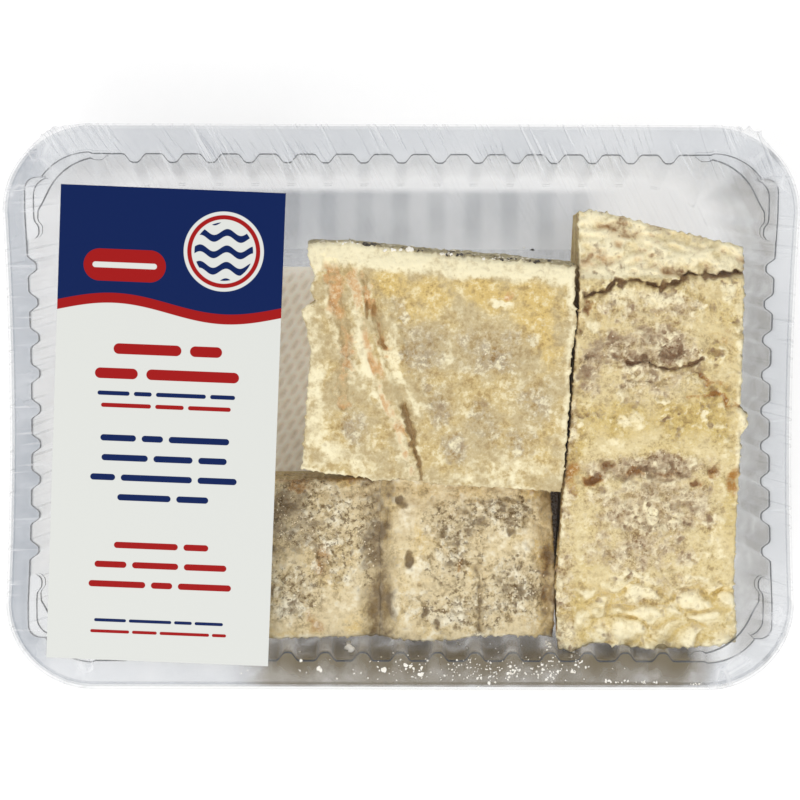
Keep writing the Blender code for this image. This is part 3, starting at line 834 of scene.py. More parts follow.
def make_cutlet(name, node, finish, look, seed, cell, bed, top, foot, waves=(),
                skins=(0.0, 0.0, 0.0, 0.0), frays=(1.0, 1.0, 1.0, 1.0)):
    """A sawn block. look gives its top; waves bend its edges out and in, from the near one
    anticlockwise, as (share of the edge, millimetres); skins are how much skin each side has, and
    frays how frayed its edge is."""
    corners = np.array(top)
    count_u = round(np.hypot(*(corners[1] - corners[0])) / cell)
    count_v = round(np.hypot(*(corners[3] - corners[0])) / cell)
    u, v = np.meshgrid(np.linspace(0.0, 1.0, count_u + 1), np.linspace(0.0, 1.0, count_v + 1), indexing="ij")
    rim = np.minimum(np.minimum(u, 1.0 - u) * count_u, np.minimum(v, 1.0 - v) * count_v) * cell
    x, y = sawn_plan(corners, u, v, waves, frays, seed)
    z, looks = sawn_relief(x, y, *look(x, y), rim, seed)
    points, looks = [np.stack((x, y, z), -1).reshape(-1, 3)], [looks]
    numbers = np.arange((count_u + 1) * (count_v + 1)).reshape(count_u + 1, count_v + 1)
    faces = np.stack((numbers[:-1, :-1], numbers[1:, :-1], numbers[1:, 1:], numbers[:-1, 1:]), -1)
    faces = faces.reshape(-1, 4).tolist()
    ring = np.concatenate((numbers[:-1, 0], numbers[-1, :-1], numbers[:0:-1, -1], numbers[0, :0:-1]))
    base = cut_plan(np.array(foot), u, v).reshape(-1, 2)[ring]
    skin = np.repeat(skins, (count_u, count_v, count_u, count_v))
    made = numbers.size
    for places, found in sawn_sides(points[0][ring], base, bed, skin, seed):
        below = made + np.arange(len(ring))
        faces += np.stack((ring, below, np.roll(below, -1), np.roll(ring, -1)), -1).tolist()
        points.append(places)
        looks.append(found)
        ring = below
        made += len(ring)
    faces.append(ring[::-1].tolist())
    looks = np.vstack(looks)
    cutlet = new_piece(name, np.vstack(points).tolist(), faces, finish)
    keep_values(cutlet, tones=looks[:, :3], marks=looks[:, 3:6], salt=looks[:, 6])
    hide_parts(node)
    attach(cutlet, "root")


def flesh_group():
    """Colour and height of salted, dried flesh, from what is kept on the cutlet's points."""
    colours = ("Flesh", "Gold", "Cream", "Drab", "Rust", "Pore")
    inputs = [(title, "NodeSocketColor", None) for title in colours]
    inputs += [(title, "NodeSocketVector", None) for title in ("Place", "Tones", "Marks")]
    inputs.append(("Pitted", "NodeSocketFloat", None))
    outputs = [("Colour", "NodeSocketColor"), ("Height", "NodeSocketFloat"), ("Roughness", "NodeSocketFloat")]
    tree, given, result = new_group("salted_flesh", inputs, outputs)
    place = given["Place"]
    tones, marks = axes_of(tree, given["Tones"]), axes_of(tree, given["Marks"])
    cloud = grain(tree, place, 9.0, 3.0, 0.6)
    mottle = grain(tree, place, 3.8, 3.0, 0.6)
    grit = grain(tree, place, 1.6, 2.0, 0.65)
    fine = grain(tree, place, 0.6, 1.0, 0.6)
    uneven = calc(tree, "MULTIPLY_ADD", cloud, 0.4, calc(tree, "MULTIPLY", mottle, 0.42))
    uneven = calc(tree, "ADD", uneven, calc(tree, "MULTIPLY_ADD", grit, 0.18, -0.5))
    texture = calc(tree, "MULTIPLY_ADD", mottle, 0.4, calc(tree, "MULTIPLY", grit, 0.42))
    texture = calc(tree, "MULTIPLY_ADD", fine, 0.18, texture)

    def worn(mask, spread):
        loose = calc(tree, "MULTIPLY_ADD", uneven, spread, mask)
        return calc(tree, "MULTIPLY", remap(tree, loose, 0.0, 1.0), remap(tree, mask, 0.0, 0.3))

    colour = blend(tree, remap(tree, cloud, 0.42, 0.62, 0.0, 0.45), given["Flesh"], given["Gold"])
    for mask, spread, title in ((tones["X"], 5.0, "Gold"), (tones["Z"], 6.0, "Drab"),
                                (tones["Y"], 5.0, "Cream"), (marks["X"], 7.0, "Rust")):
        colour = blend(tree, worn(mask, spread), colour, given[title])
    strength = calc(tree, "SUBTRACT", calc(tree, "MULTIPLY_ADD", tones["Z"], 0.45, 0.58),
                    calc(tree, "MULTIPLY", tones["Y"], 0.42))
    strength = calc(tree, "MULTIPLY", strength, remap(tree, cloud, 0.35, 0.65, 0.65, 1.25))
    dark = calc(tree, "MULTIPLY", remap(tree, texture, 0.5, 0.38), strength, 0.75)
    light = calc(tree, "MULTIPLY", remap(tree, texture, 0.5, 0.61), strength, 0.85)
    colour = blend(tree, dark, colour, given["Pore"])
    colour = blend(tree, light, colour, given["Cream"])
    porous = calc(tree, "MULTIPLY", given["Pitted"], remap(tree, tones["Z"], 0.0, 0.5))
    pits = calc(tree, "MULTIPLY", remap(tree, grain(tree, place, 1.7, 3.0, 0.7), 0.48, 0.36), porous)
    # The dark mark of clefts and pores, which also carries painted shade in hollows, creases, cracks and
    # valleys, and the pits turn the flesh pore-coloured.
    deep = calc(tree, "MAXIMUM", calc(tree, "MULTIPLY", worn(marks["Z"], 5.0), 0.85), pits)
    colour = blend(tree, deep, colour, given["Pore"])
    lumps = grain(tree, place, 2.4, 3.0, 0.7)
    skin = blend(tree, remap(tree, lumps, 0.46, 0.36), SKIN, DARK_SKIN)
    skin = blend(tree, remap(tree, lumps, 0.57, 0.66), skin, SALT)
    tree.links.new(blend(tree, marks["Y"], colour, skin), result["Colour"])
    sunk = calc(tree, "MULTIPLY", deep, -0.8)
    tree.links.new(calc(tree, "MULTIPLY_ADD", texture, 2.0, sunk), result["Height"])
    tree.links.new(remap(tree, texture, 0.4, 0.6, 0.9, 0.7), result["Roughness"])
    return tree


flesh = flesh_group()


def flesh_finish(name, pitted, **colours):
    """A cutlet's material: the shared flesh, in this cutlet's own colours."""
    finish, tree, shader = new_material(name, IOR=1.45, Specular_IOR_Level=0.3)
    wires = {"Place": place_on(tree), "Tones": kept(tree, "tones", vector=True),
             "Marks": kept(tree, "marks", vector=True), "Pitted": pitted, **colours}
    made = add(tree, "ShaderNodeGroup", wires, node_tree=flesh).outputs
    feed(shader, Base_Color=made["Colour"], Roughness=made["Roughness"])
    roughen(tree, shader, made["Height"], 0.8, 0.0003)
    return finish


def rolling(x, y, seed, broad, narrow):
    """A sawn top's broad lumps, with smaller ones on them."""
    return field(x, y, seed, broad) + 0.5 * field(x, y, seed + 7.0, narrow)


def centre_look(x, y):
    """Top cutlet: a smooth cream far edge, gold below it, a drab middle, and at its left three
    pinkish muscle bands with rust in their clefts and a crack that runs to the near edge."""
    spots = {
        "gold": ((-2, 36, 9, 7, 0.9), (10, 33, 12, 7, 0.7), (24, 33, 14, 8, 0.85), (38, 28, 12, 11, 0.9),
                 (41, 18, 7, 9, 0.75), (30, 20, 16, 9, 0.5), (5, 27, 9, 7, 0.55), (-24, -4, 5, 12, 0.35),
                 (38, -10, 10, 10, 0.3)),
        "pale": ((-25.5, 8, 6.5, 36, 0.75), (10, -20.5, 44, 4, 0.35), (13.4, 16, 2.2, 7, 0.6),
                 (28, 29.8, 5, 1.3, 0.9), (-11.5, -14.5, 6, 6, 0.6), (30, -17, 20, 6, 0.35),
                 (-3, 16, 3.6, 11, 0.7), (-25.6, 33.5, 2, 2.4, 1), (16, 32.5, 3, 4, 0.4),
                 (-20, -13, 10, 5, 0.5)),
        "drab": ((7, 17.5, 10.5, 10.5, 0.95), (26, 17, 18, 11, 0.75), (10.8, 0, 5, 8, 0.7),
                 (15.5, -11, 5, 8, 0.75), (23, -5, 8, 10, 0.6), (38, 2, 8, 12, 0.4),
                 (-15.4, 15.5, 3.2, 7, 0.8), (-12.8, -5.5, 6, 7, 0.65), (34, -9, 8, 8, 0.4)),
        "rust": ((-18.6, 33, 2.8, 8.5, 0.75), (-16.2, 6.5, 2.2, 7, 0.5), (30.4, 32, 1.8, 1.6, 0.6),
                 (-15.4, 18, 2.6, 6, 0.4)),
        "cleft": ((-15.2, 15, 2.2, 5, 0.3), (10.6, -0.6, 2.4, 3.2, 0.35), (22.3, -9, 1.6, 3, 0.35),
                  (23.8, 0.6, 2.2, 2.4, 0.3)),
    }
    paths = (
        ("rust", 1.9, 0.7, 1.2, ((-10.4, 37.6), (-10, 30.5), (-7.4, 27.5), (-6, 22), (-4.6, 17))),
        ("cleft", 0.8, 0.8, 0.6, ((-10, 30), (-9.6, 25.5))),
        ("cleft", 1.1, 0.8, 0.8, ((-7.6, 29), (-6.2, 22.5), (-4.8, 17.5))),
        ("rust", 2.8, 0.6, 1.4, ((-20.6, 41), (-18.6, 33), (-16.4, 24), (-15.2, 15), (-16.6, 7),
                                 (-16.6, 1))),
        ("cleft", 1.7, 0.9, 1.8, ((0.4, 0.4), (2.4, -5), (3.8, -10.5))),
        ("cleft", 1, 0.9, 1.4, ((3.8, -10.5), (4.6, -14.2))),
        ("cleft", 0.7, 0.9, 1.2, ((4.5, -14), (5.8, -17.8), (6.1, -22.5))),
        ("drab", 3, 0.4, 0.8, ((-1, 30), (4.5, 12), (9, 2))),
        ("pale", 2, 0.7, -0.3, ((-7.4, 24), (-3.5, 14), (1, 7), (4.5, -1))),
        ("pale", 3.4, 0.8, -0.5, ((-13, 36), (-12, 22), (-8, 9), (-1.5, -4), (2.5, -17))),
    )
    found, depth = wandering(x, y, 41.0, spots, paths)
    run = x - np.interp(y, (-23.0, 0.0, 20.0, 45.0), (3.5, -6.0, -13.0, -17.5))
    strand = field(run, y / 7.0, 43.0, 4.6) + 0.3 * field(run * 2.0, y / 4.0, 44.0, 2.6)
    bands = eased((8.5 - np.abs(run)) / 4.0)
    found["drab"] = 0.85 * found["drab"]
    found["salt"] = 0.15 * found["drab"]
    found["craggy"] = 0.4 * found["drab"]
    at_least(found, pale=0.55 * bands * eased(2.4 * strand), rust=0.42 * bands * eased(0.15 - 2.2 * strand))
    far_edge = eased((y + 1.6 * field(x, y, 47.0, 5.0) - 38.4 + 0.062 * (x + 26.0)) / 4.5)
    at_least(found, pale=np.maximum(far_edge, 0.8 * eased((x - 44.5 - 0.03 * y) / 3.0)))
    for kind in ("gold", "drab", "rust"):
        found[kind] = found[kind] * (1.0 - 0.9 * far_edge)
    depth = depth - 0.9 * bands * strand
    height = CENTRE_TOP + 0.6 * rolling(x, y, 1.0, 8.0, 3.5) - depth
    deep = groove(x, y, ((-10.5, 38.0), (-4.5, 18.0), (2.5, -2.0), (5.5, -20.5)), 3.2)
    height = height - 1.2 * deep - 2.2 * eased((y - 36.0 + 0.08 * x) / 11.0) ** 2
    return found, height


def right_look(x, y):
    """Long cutlet: a layered slab that sags past a crack, a lumpy drab stretch, a yellow one, the
    dark line along the fish's middle, a salted one, and torn cream flakes with golden hollows."""
    spots = {
        "gold": ((84, -3, 18, 9, 1), (62, -3, 18, 9, 0.9), (86, 4, 12, 5, 0.7), (88, 24, 10, 16, 0.4),
                 (48, -16, 5, 22, 0.9), (86, -66, 12, 4, 0.9), (93, -60, 5, 6, 0.7),
                 (65.6, -59, 4.6, 3.4, 1), (90, -52.8, 6, 3, 1), (50.5, -56.6, 5, 3, 0.8),
                 (55, -64.3, 3, 2, 0.8), (65, -40, 3.4, 2, 0.6), (53.7, -45.5, 4, 2.4, 0.5),
                 (94, -30, 4, 20, 0.6), (57.5, -55.5, 3.4, 3, 0.8), (74, -53.3, 4, 2, 0.5),
                 (60, 27, 12, 7, 0.4), (92, 5, 5, 5, 0.7)),
        "pale": ((65.6, -4, 5.5, 5, 0.6), (62, 32, 8, 3.5, 0.6), (73, 31, 7, 4, 0.6), (90, 33, 7, 4, 0.7),
                 (53.7, 23.6, 2.6, 2.6, 0.8), (72, -31, 12, 8, 0.45), (83, -48.4, 4.6, 1.8, 0.95),
                 (52.2, -60, 5, 3.2, 0.95), (61, -65, 8, 3.4, 0.95), (48.5, -66, 4, 4, 0.9),
                 (82, -60, 10, 5, 0.6), (95, -58, 4, 14, 0.8), (58, -50, 10, 5, 0.5), (96.5, -2, 2.6, 5, 1),
                 (60, -11, 10, 4, 0.35), (90, -40, 8, 6, 0.3)),
        "drab": ((70, 17, 22, 11, 1), (54, 12, 6, 11, 0.9), (70, 27, 24, 9, 0.5), (70, 6, 20, 6, 0.6),
                 (70, -17, 28, 6, 1), (72, -28, 25, 13, 0.9), (68, -40, 24, 10, 0.7), (78, -50, 12, 6, 0.5),
                 (70, -55, 14, 4, 0.4)),
        "rust": ((59.1, -16, 4.6, 2.4, 0.8), (53.8, -20.2, 5, 2.4, 0.9), (66, -18.5, 4.6, 2.2, 0.7),
                 (83.1, -20.6, 4, 2.2, 0.8), (76, -18.6, 5, 2, 0.5), (94, -20.5, 2.6, 5.5, 1),
                 (48.8, -19.5, 3.2, 6.5, 0.9), (83, 3.6, 3.4, 1.2, 0.8), (89, 7.4, 4.6, 1.3, 0.6),
                 (91.5, 2.2, 1.2, 2.4, 0.7), (52, 28.8, 2.2, 3, 0.9), (88, -17.5, 3.6, 3, 0.7),
                 (92, 20, 3, 4, 0.4)),
        "cleft": ((51.6, 29, 1.8, 3.4, 0.9), (50.8, 21.3, 1.6, 2.6, 0.8), (52.2, 16.7, 3, 2.6, 0.5),
                  (56.8, 13.8, 2.4, 1.5, 0.7), (61, 14.6, 2.8, 1.9, 0.8), (68.8, 14.2, 2.4, 2, 0.8),
                  (71, 18, 2, 2.4, 0.5), (70.1, 21.7, 2.6, 2.2, 0.5), (76.2, 22.8, 2.6, 1.8, 0.55),
                  (59.5, 19.8, 2.4, 1.6, 0.45), (88.4, 16.4, 3.6, 1.4, 0.5), (59.1, -16, 3.6, 1.8, 0.85),
                  (53.8, -20.2, 4, 1.7, 0.9), (66, -18.3, 3.4, 1.5, 0.75), (83.1, -20.9, 2.6, 1.5, 1),
                  (88.2, -17.2, 2.6, 1.6, 0.7), (51.5, 10, 3.4, 7, 0.5), (54, 18, 6, 6, 0.35),
                  (73, -17, 5, 2, 0.4), (57.4, -54.6, 2.6, 1.3, 0.5), (80, -27, 5, 1.4, 0.4),
                  (73, -36, 3, 1.6, 0.4), (62.5, -19.8, 3, 1.4, 0.7), (75, -20.6, 4, 1.2, 0.65),
                  (79.5, -18.6, 3, 1.4, 0.6), (70, -22, 3.4, 1.2, 0.5), (56.5, -23, 3, 1.2, 0.5),
                  (66, -25.5, 2.4, 1, 0.4)),
    }
    # The first line, the crack under the slab's sagging edge, is darkened with painted shadow.
    paths = (
        ("cleft", 1.2, 1, 2, ((51.5, 31.5), (57.6, 33.3), (60, 36), (69.4, 35.9), (73.5, 34.6),
                              (80.8, 37.6), (90.5, 37.4), (98, 38.6))),
        ("cleft", 0.9, 0.85, 1.2, ((64, 12.6), (69.4, 13.4), (72.8, 11.5), (75.5, 10.8), (80.8, 12.2),
                                   (84.6, 14))),
        ("cleft", 0.6, 0.5, 0.5, ((64, 8), (72, 7.4), (76, 8.6))),
        ("rust", 0.9, 0.8, 0.6, ((80.8, 3.4), (85, 3.8), (91.4, 4.4), (91.6, 0.4), (96, 0.8))),
        ("rust", 1, 0.6, 0.5, ((84.6, 9.4), (88, 7.6), (92.6, 6.4))),
        ("pale", 1.4, 0.95, -0.6, ((64, -46.6), (68, -48), (73.2, -50.6))),
        ("pale", 1.8, 1, -0.8, ((71.5, -64.5), (73.6, -67), (75.8, -70))),
        ("cleft", 0.7, 0.5, 0.4, ((55, -57.5), (60, -56.5), (64, -57))),
    )
    found, depth = wandering(x, y, 51.0, spots, paths)
    slab = eased((y - 36.0 - 0.02 * (x - 60.0)) / 2.0)
    flakes = field(x + 0.2 * y, 2.4 * (y + 0.22 * x), 55.0, 10.0) + 0.5 * field(x, 1.8 * y, 56.0, 3.4)
    strata = eased(0.5 + 1.4 * flakes)
    for kind, amount in (("gold", 0.35), ("pale", 1.0 - 0.4 * strata), ("drab", 0.0)):
        found[kind] = np.maximum(found[kind] * (1.0 - slab), slab * amount)
    at_least(found, rough=0.3 * slab, rust=0.25 * slab * strata, cleft=0.3 * slab * eased(3.0 * strata - 2.2))
    at_least(found, rough=0.5 * eased((-44.0 - y) / 6.0), pale=0.5 * eased((x - 93.5) / 2.5))
    at_least(found, rough=0.5 * eased((30.0 - np.abs(y - 18.0)) / 10.0), pale=0.5 * eased((-50.0 - y) / 8.0))
    lumpy = np.maximum(found["drab"], found["rough"]) * (1.0 - slab)
    clumps = crags(x + 2.6 * field(x, y, 60.0, 5.0), 1.3 * (y + 2.6 * field(x, y, 62.0, 5.0)), 64.0, 7.0)
    # Creases between the clumps are darkened with painted shade, and the left margin beside the top cutlet is
    # greyed with painted shade.
    at_least(found, cleft=0.4 * lumpy * eased(0.75 - 2.0 * clumps), drab=0.42 * eased((51.5 - x) / 3.5),
             pale=0.4 * spot(x, y, 70.0, -24.0, 22.0, 9.0))
    found["salt"] = 0.5 * found["drab"]
    end = eased((-47.0 - y) / 6.0)
    torn = crags(x + 3.5 * field(x, y, 65.0, 7.0), 1.7 * (y + 2.5 * field(x, y, 66.0, 6.0)), 69.0, 10.0)
    found["pale"] = np.maximum(found["pale"] * (1.0 - 0.5 * end), 0.9 * end * eased(2.2 * torn - 0.6))
    at_least(found, gold=0.9 * end * eased(1.1 - 2.2 * torn))
    found["rough"] = found["rough"] * (1.0 - 0.6 * end)
    lumpy = lumpy * (1.0 - 0.6 * end)
    height = RIGHT_TOP + 0.9 * rolling(x, y, 3.0, 7.0, 3.0) - depth
    height = height + 0.9 * lumpy * field(x, y, 57.0, 4.0) + 0.9 * lumpy * (clumps - 0.7)
    height = height + 1.6 * end * (torn - 0.7)
    height = height - slab * (2.0 + 0.45 * np.maximum(0.0, y - 38.0)) - 1.4 * strata * slab
    height = height - 1.0 * found["cleft"] - 1.6 * spot(x, y, 65.6, -59.0, 4.4, 3.2)
    height = height - 1.6 * spot(x, y, 90.0, -52.8, 6.0, 3.0) + 0.5 * found["pale"] * (1.0 - slab)
    terrace = eased((-50.0 - y + 2.5 * field(x, y, 58.0, 7.0)) / 1.2)
    terrace = terrace + eased((-60.0 - y + 2.5 * field(x, y, 59.0, 6.0)) / 1.0)
    height = height - 0.7 * terrace - 1.1 * eased((52.0 - x) / 5.0) * eased((-y - 4.0) / 10.0)
    return found, height


def near_height(x, y, top, seed, broad, share):
    """Top of a near cutlet, which rises towards the near side and is craggy all over."""
    height = top + 6.0 * (-22.0 - y) / 44.0 + share * rolling(x, y, seed, broad, 3.0)
    crag_seed = 10.0 * seed + 26.0
    return height + 0.8 * (crags(x + 2.0 * field(x, y, crag_seed, 4.0), y, crag_seed + 1.0, 5.5) - 0.7)


def valley_shade(y):
    """How dark the valley between the near cutlets is, more so towards the near side."""
    return 0.47 + 0.28 * eased((-32.0 - y) / 16.0)


def left_look(x, y):
    """Near cutlet under the label's edge: rust and dark grit at its far left, an orange patch,
    and a shaded valley where it leans on the next one."""
    spots = {
        "gold": ((-17, -22.6, 7, 3, 1), (-16, -44, 8, 10, 0.5), (-13, -63, 9, 5, 0.6),
                 (-35, -66, 8, 3, 0.7), (-20, -50, 6, 8, 0.4)),
        "pale": ((-32, -60, 6, 7, 0.55), (-12, -50, 6, 8, 0.4), (-15, -32, 6, 7, 0.35),
                 (-18, -58, 8, 5, 0.4)),
        "drab": ((-30.6, -33, 12, 14, 1), (-24, -24, 14, 5, 0.8), (-30, -54, 12, 12, 0.7),
                 (-9, -38, 6, 24, 0.8), (-50, -44, 24, 26, 0.7), (-18, -38, 14, 22, 0.5)),
        "rust": ((-30.6, -23, 8, 3.4, 1), (-23.6, -61, 4, 8, 0.4), (-22, -45, 4, 8, 0.35),
                 (-16, -22.4, 5, 1.8, 0.5)),
        "cleft": ((-30, -23.5, 7, 2.2, 0.5), (-28, -35, 6, 8, 0.35), (-36, -30, 4, 6, 0.35)),
    }
    paths = (("cleft", 2.2, 0.3, 0.4, ((-7.4, -24), (-7, -45))),)
    found, depth = wandering(x, y, 61.0, spots, paths)
    valley = eased((x + 1.5 * field(x, y, 68.0, 6.0) + 13.5) / 7.0)
    at_least(found, cleft=np.maximum(valley * valley_shade(y), 0.55 * spot(x, y, -34.0, -34.0, 12.0, 17.0)))
    height = near_height(x, y, LEFT_TOP, 4.0, 8.0, 0.8)
    return found, height - depth - 2.6 * valley - 0.8 * found["cleft"]


def middle_look(x, y):
    """Near cutlet in the middle: open pores, a few deep pits and a short seam."""
    spots = {
        "gold": ((20, -47.5, 3, 4, 0.8), (41, -45, 4, 24, 0.6), (14, -31, 4, 3, 0.5),
                 (38, -26, 8, 2.6, 0.8), (5, -36, 3, 4, 0.5)),
        "pale": ((1.8, -31.3, 4.6, 7, 0.7), (34.8, -42, 5, 4.4, 0.65), (12, -60, 10, 6, 0.5),
                 (5, -48, 6, 6, 0.35), (-2, -56, 3, 10, 0.5), (28, -38, 5, 4, 0.4)),
        "drab": ((16, -34, 13, 9, 0.85), (15, -46, 11, 9, 0.7), (33, -52, 12, 13, 0.85),
                 (30, -31, 14, 8, 0.75), (20, -58, 24, 10, 0.6)),
        "rust": ((17, -46.4, 1.6, 2.4, 0.8), (42, -50, 3, 16, 0.35), (36, -25, 9, 1.6, 0.4)),
        "cleft": ((0.2, -28.1, 1.8, 2.4, 0.95), (2.9, -44.3, 1.5, 3.4, 0.9), (5.3, -51.6, 1, 1.4, 0.8),
                  (7, -58.9, 1.5, 3.4, 0.9), (10.2, -63.2, 1.2, 1.4, 0.7), (22.9, -33.5, 2.4, 2.2, 0.75),
                  (19.7, -36.7, 2, 1.8, 0.7), (12.6, -36.4, 2.2, 1.6, 0.7), (31, -27.4, 5, 1.3, 0.75),
                  (34.3, -53, 2.4, 2.4, 0.6), (32, -50, 1.8, 1.6, 0.6), (38, -53.5, 2, 3.2, 0.5),
                  (10.8, -28.6, 2, 1.4, 0.6), (31.6, -36.4, 2, 1.6, 0.6)),
    }
    paths = (
        ("cleft", 1.1, 0.8, 1, ((22.4, -45), (22.8, -54), (22.6, -64.5))),
        ("drab", 3, 0.5, 1.2, ((22, -30), (23.5, -45), (22.5, -66))),
    )
    found, depth = wandering(x, y, 71.0, spots, paths)
    beside = eased((1.5 - x + 1.5 * field(x, y, 78.0, 6.0)) / 7.5)
    # The slope along its right edge, down towards the right cutlet, is browned with painted shade.
    at_least(found, cleft=np.maximum(beside * valley_shade(y), 0.45 * eased((x - 38.5) / 4.0)),
             gold=0.5 * eased((x - 37.0) / 4.0))
    height = near_height(x, y, MIDDLE_TOP, 5.0, 7.0, 0.9)
    height = height - depth - 2.6 * eased(-x / 6.0) - 3.4 * eased((x - 37.0) / 7.0) - 1.1 * found["cleft"]
    return found, height


def under_look(x, y):
    """The cutlet below the top one, of which only the far skin side shows."""
    found, depth = wandering(x, y, 81.0, {"drab": ((10, 12, 60, 50, 0.6),)}, ())
    return found, LOWER_TOP + np.minimum(0.0, 0.8 * field(x, y, 2.0, 10.0)) - depth - REST_GAP


golden = flesh_finish("golden_flesh", 0.2, Flesh=rgb(199, 181, 139), Gold=rgb(216, 188, 119),
                      Drab=rgb(184, 170, 144), Cream=rgb(247, 237, 200), Rust=rgb(206, 160, 106),
                      Pore=rgb(140, 106, 56))
layered = flesh_finish("layered_flesh", 0.3, Flesh=rgb(224, 206, 157), Gold=rgb(210, 186, 119),
                       Drab=rgb(208, 190, 158), Cream=rgb(252, 241, 203), Rust=rgb(172, 122, 56),
                       Pore=rgb(114, 76, 42))
salted = flesh_finish("salted_flesh", 0.75, Flesh=rgb(224, 207, 167), Gold=rgb(222, 196, 134),
                      Drab=rgb(214, 199, 165), Cream=rgb(248, 240, 214), Rust=rgb(184, 146, 96),
                      Pore=rgb(102, 77, 40))
make_cutlet("centre_cutlet", "cutlet_centre", golden, centre_look, 11.0, 0.3, LOWER_BED,
            top=((-28.2, -17.4), (45.6, -23.9), (49.1, 39.9), (-26.5, 46.4)),
            foot=((-24.9, -16.9), (44.6, -22.1), (47.4, 40.2), (-24.4, 46.2)),
            waves=(((0.1, 0.7), (0.24, 0.7), (0.28, 1.6), (0.37, 0.4), (0.57, 1.0), (0.71, 0.4)),
                   ((0.1, 0.4), (0.43, 0.8), (0.51, 0.3), (0.64, 0.5), (0.72, 1.2), (0.78, 1.4), (0.84, 0.2)),
                   ((0.13, 0.3), (0.41, 0.0), (0.64, 0.4), (0.82, 1.4), (0.94, 0.6)),
                   ((0.05, 0.0), (0.14, -2.3), (0.2, -0.8), (0.25, -2.6), (0.29, 1.4), (0.38, -0.4),
                    (0.46, -1.6), (0.69, -0.9))),
            skins=(0.0, 0.1, 0.9, 0.0))
make_cutlet("lower_cutlet", "cutlet_centre_under", salted, under_look, 12.0, 0.9, PAD_BED,
            top=((-23.0, -15.5), (43.5, -20.0), (45.0, 37.0), (-22.5, 42.5)),
            foot=((-21.0, -14.5), (41.5, -18.0), (43.0, 35.0), (-21.0, 40.5)), skins=(0.0, 0.0, 0.9, 0.0))
make_cutlet("right_cutlet", "cutlet_right", layered, right_look, 13.0, 0.34, PAD_BED,
            top=((44.8, -69.6), (96.2, -67.5), (97.0, 45.6), (50.1, 55.2)),
            foot=((45.4, -60.5), (86.5, -58.0), (90.5, 41.0), (50.4, 52.0)),
            waves=(((0.09, 0.9), (0.18, -1.2), (0.25, -1.2), (0.43, 0.3), (0.58, 1.3), (0.7, 0.9),
                    (0.9, 0.8)),
                   ((0.03, 0.1), (0.15, -1.3), (0.29, -1.1), (0.44, -0.4), (0.53, -0.2), (0.55, 1.5),
                    (0.58, 1.5), (0.6, -0.5), (0.7, -0.3), (0.89, -0.1)),
                   ((0.19, 0.1), (0.55, 0.6), (0.71, 1.1), (0.9, 1.3)),
                   ((0.2, -0.9), (0.3, -0.4), (0.49, -0.1), (0.65, 0.8), (0.86, 1.5))),
            skins=(0.0, 0.9, 0.3, 0.0))
make_cutlet("left_cutlet", "cutlet_left", salted, left_look, 14.0, 0.36, PAD_BED,
            top=((-71.5, -67.0), (-5.4, -66.9), (-5.3, -21.6), (-70.0, -22.4)),
            foot=((-69.0, -59.5), (-6.0, -60.5), (-6.0, -23.5), (-68.0, -24.0)),
            waves=(((0.5, 0.4), (0.8, -0.2)), (), (), ()),
            skins=(0.0, 0.0, 0.3, 0.6), frays=(1.0, 0.2, 1.0, 1.0))
make_cutlet("middle_cutlet", "cutlet_middle", salted, middle_look, 15.0, 0.33, PAD_BED,
            top=((-5.9, -67.0), (43.9, -66.9), (43.2, -24.3), (-5.9, -20.6)),
            foot=((-5.4, -60.5), (44.4, -60.5), (44.4, -25.4), (-5.4, -22.4)),
            waves=(((0.18, 0.6), (0.3, 0.9), (0.41, 0.7), (0.53, -0.4), (0.76, -0.9)),
                   ((0.22, 0.8), (0.43, 1.0), (0.7, 0.6)), (), ()),
            skins=(0.0, 0.0, 0.3, 0.0), frays=(1.0, 0.7, 1.0, 0.2))


# ---------------------------------------------------------------- salt
# Coarse salt clings to the sawn faces as small crystals, more of it where the flesh is grey. The
# crystals lie each its own way, and no two are quite the same size.
GRAIN_SIZE = 0.4
GRAINS_PER_SQUARE = 0.55          # on a square millimetre of the saltiest flesh
GRAIN_FORM = ((0.25, 0.25, 0.2), (1.5, 1.5, 0.9))     # least and greatest sides, in grain sizes
FULL_TURN = 6.3


def drawn_vector(tree, low, high, seed):
    """A vector drawn anew for each instance."""
    wires = {0: low, 1: high, "Seed": seed}
    return add(tree, "FunctionNodeRandomValue", wires, data_type="FLOAT_VECTOR").outputs[0]


def set_on(tree, places, form, turn, size):
    """This form set on each of the points."""
    wires = {"Points": places, "Instance": form, "Rotation": turn, "Scale": size}
    return add(tree, "GeometryNodeInstanceOnPoints", wires).outputs[0]


def salt_tree():
    """Geometry Nodes that strew small turned crystals over the faces that look up."""
    inputs = {"Grain size": GRAIN_SIZE * MM, "Density": GRAINS_PER_SQUARE / MM ** 2, "Seed": 0}
    tree, given = open_tree("strew_salt", inputs)
    salt = kept(tree, "salt")
    upward = axes_of(tree, add(tree, "GeometryNodeInputNormal").outputs[0])["Z"]
    density = calc(tree, "MULTIPLY", salt, salt, remap(tree, upward, 0.35, 0.8), given["Density"])
    wires = {"Mesh": given["Geometry"], "Density": density, "Seed": given["Seed"]}
    places = add(tree, "GeometryNodeDistributePointsOnFaces", wires).outputs["Points"]
    crystal = add(tree, "GeometryNodeMeshCube", {0: (1.0, 1.0, 1.0)}).outputs["Mesh"]
    turn = drawn_vector(tree, (0.0, 0.0, 0.0), (FULL_TURN, FULL_TURN, FULL_TURN), 3)
    size = scaled(tree, drawn_vector(tree, *GRAIN_FORM, 5), given["Grain size"])
    return close_tree(tree, given, set_on(tree, places, crystal, turn, size))


def speckled(name, size, dark, light, **values):
    """A finish that is mottled between two colours."""
    finish, tree, shader = new_material(name, **values)
    feed(shader, Base_Color=blend(tree, grain(tree, place_on(tree), size), dark, light))
    return finish


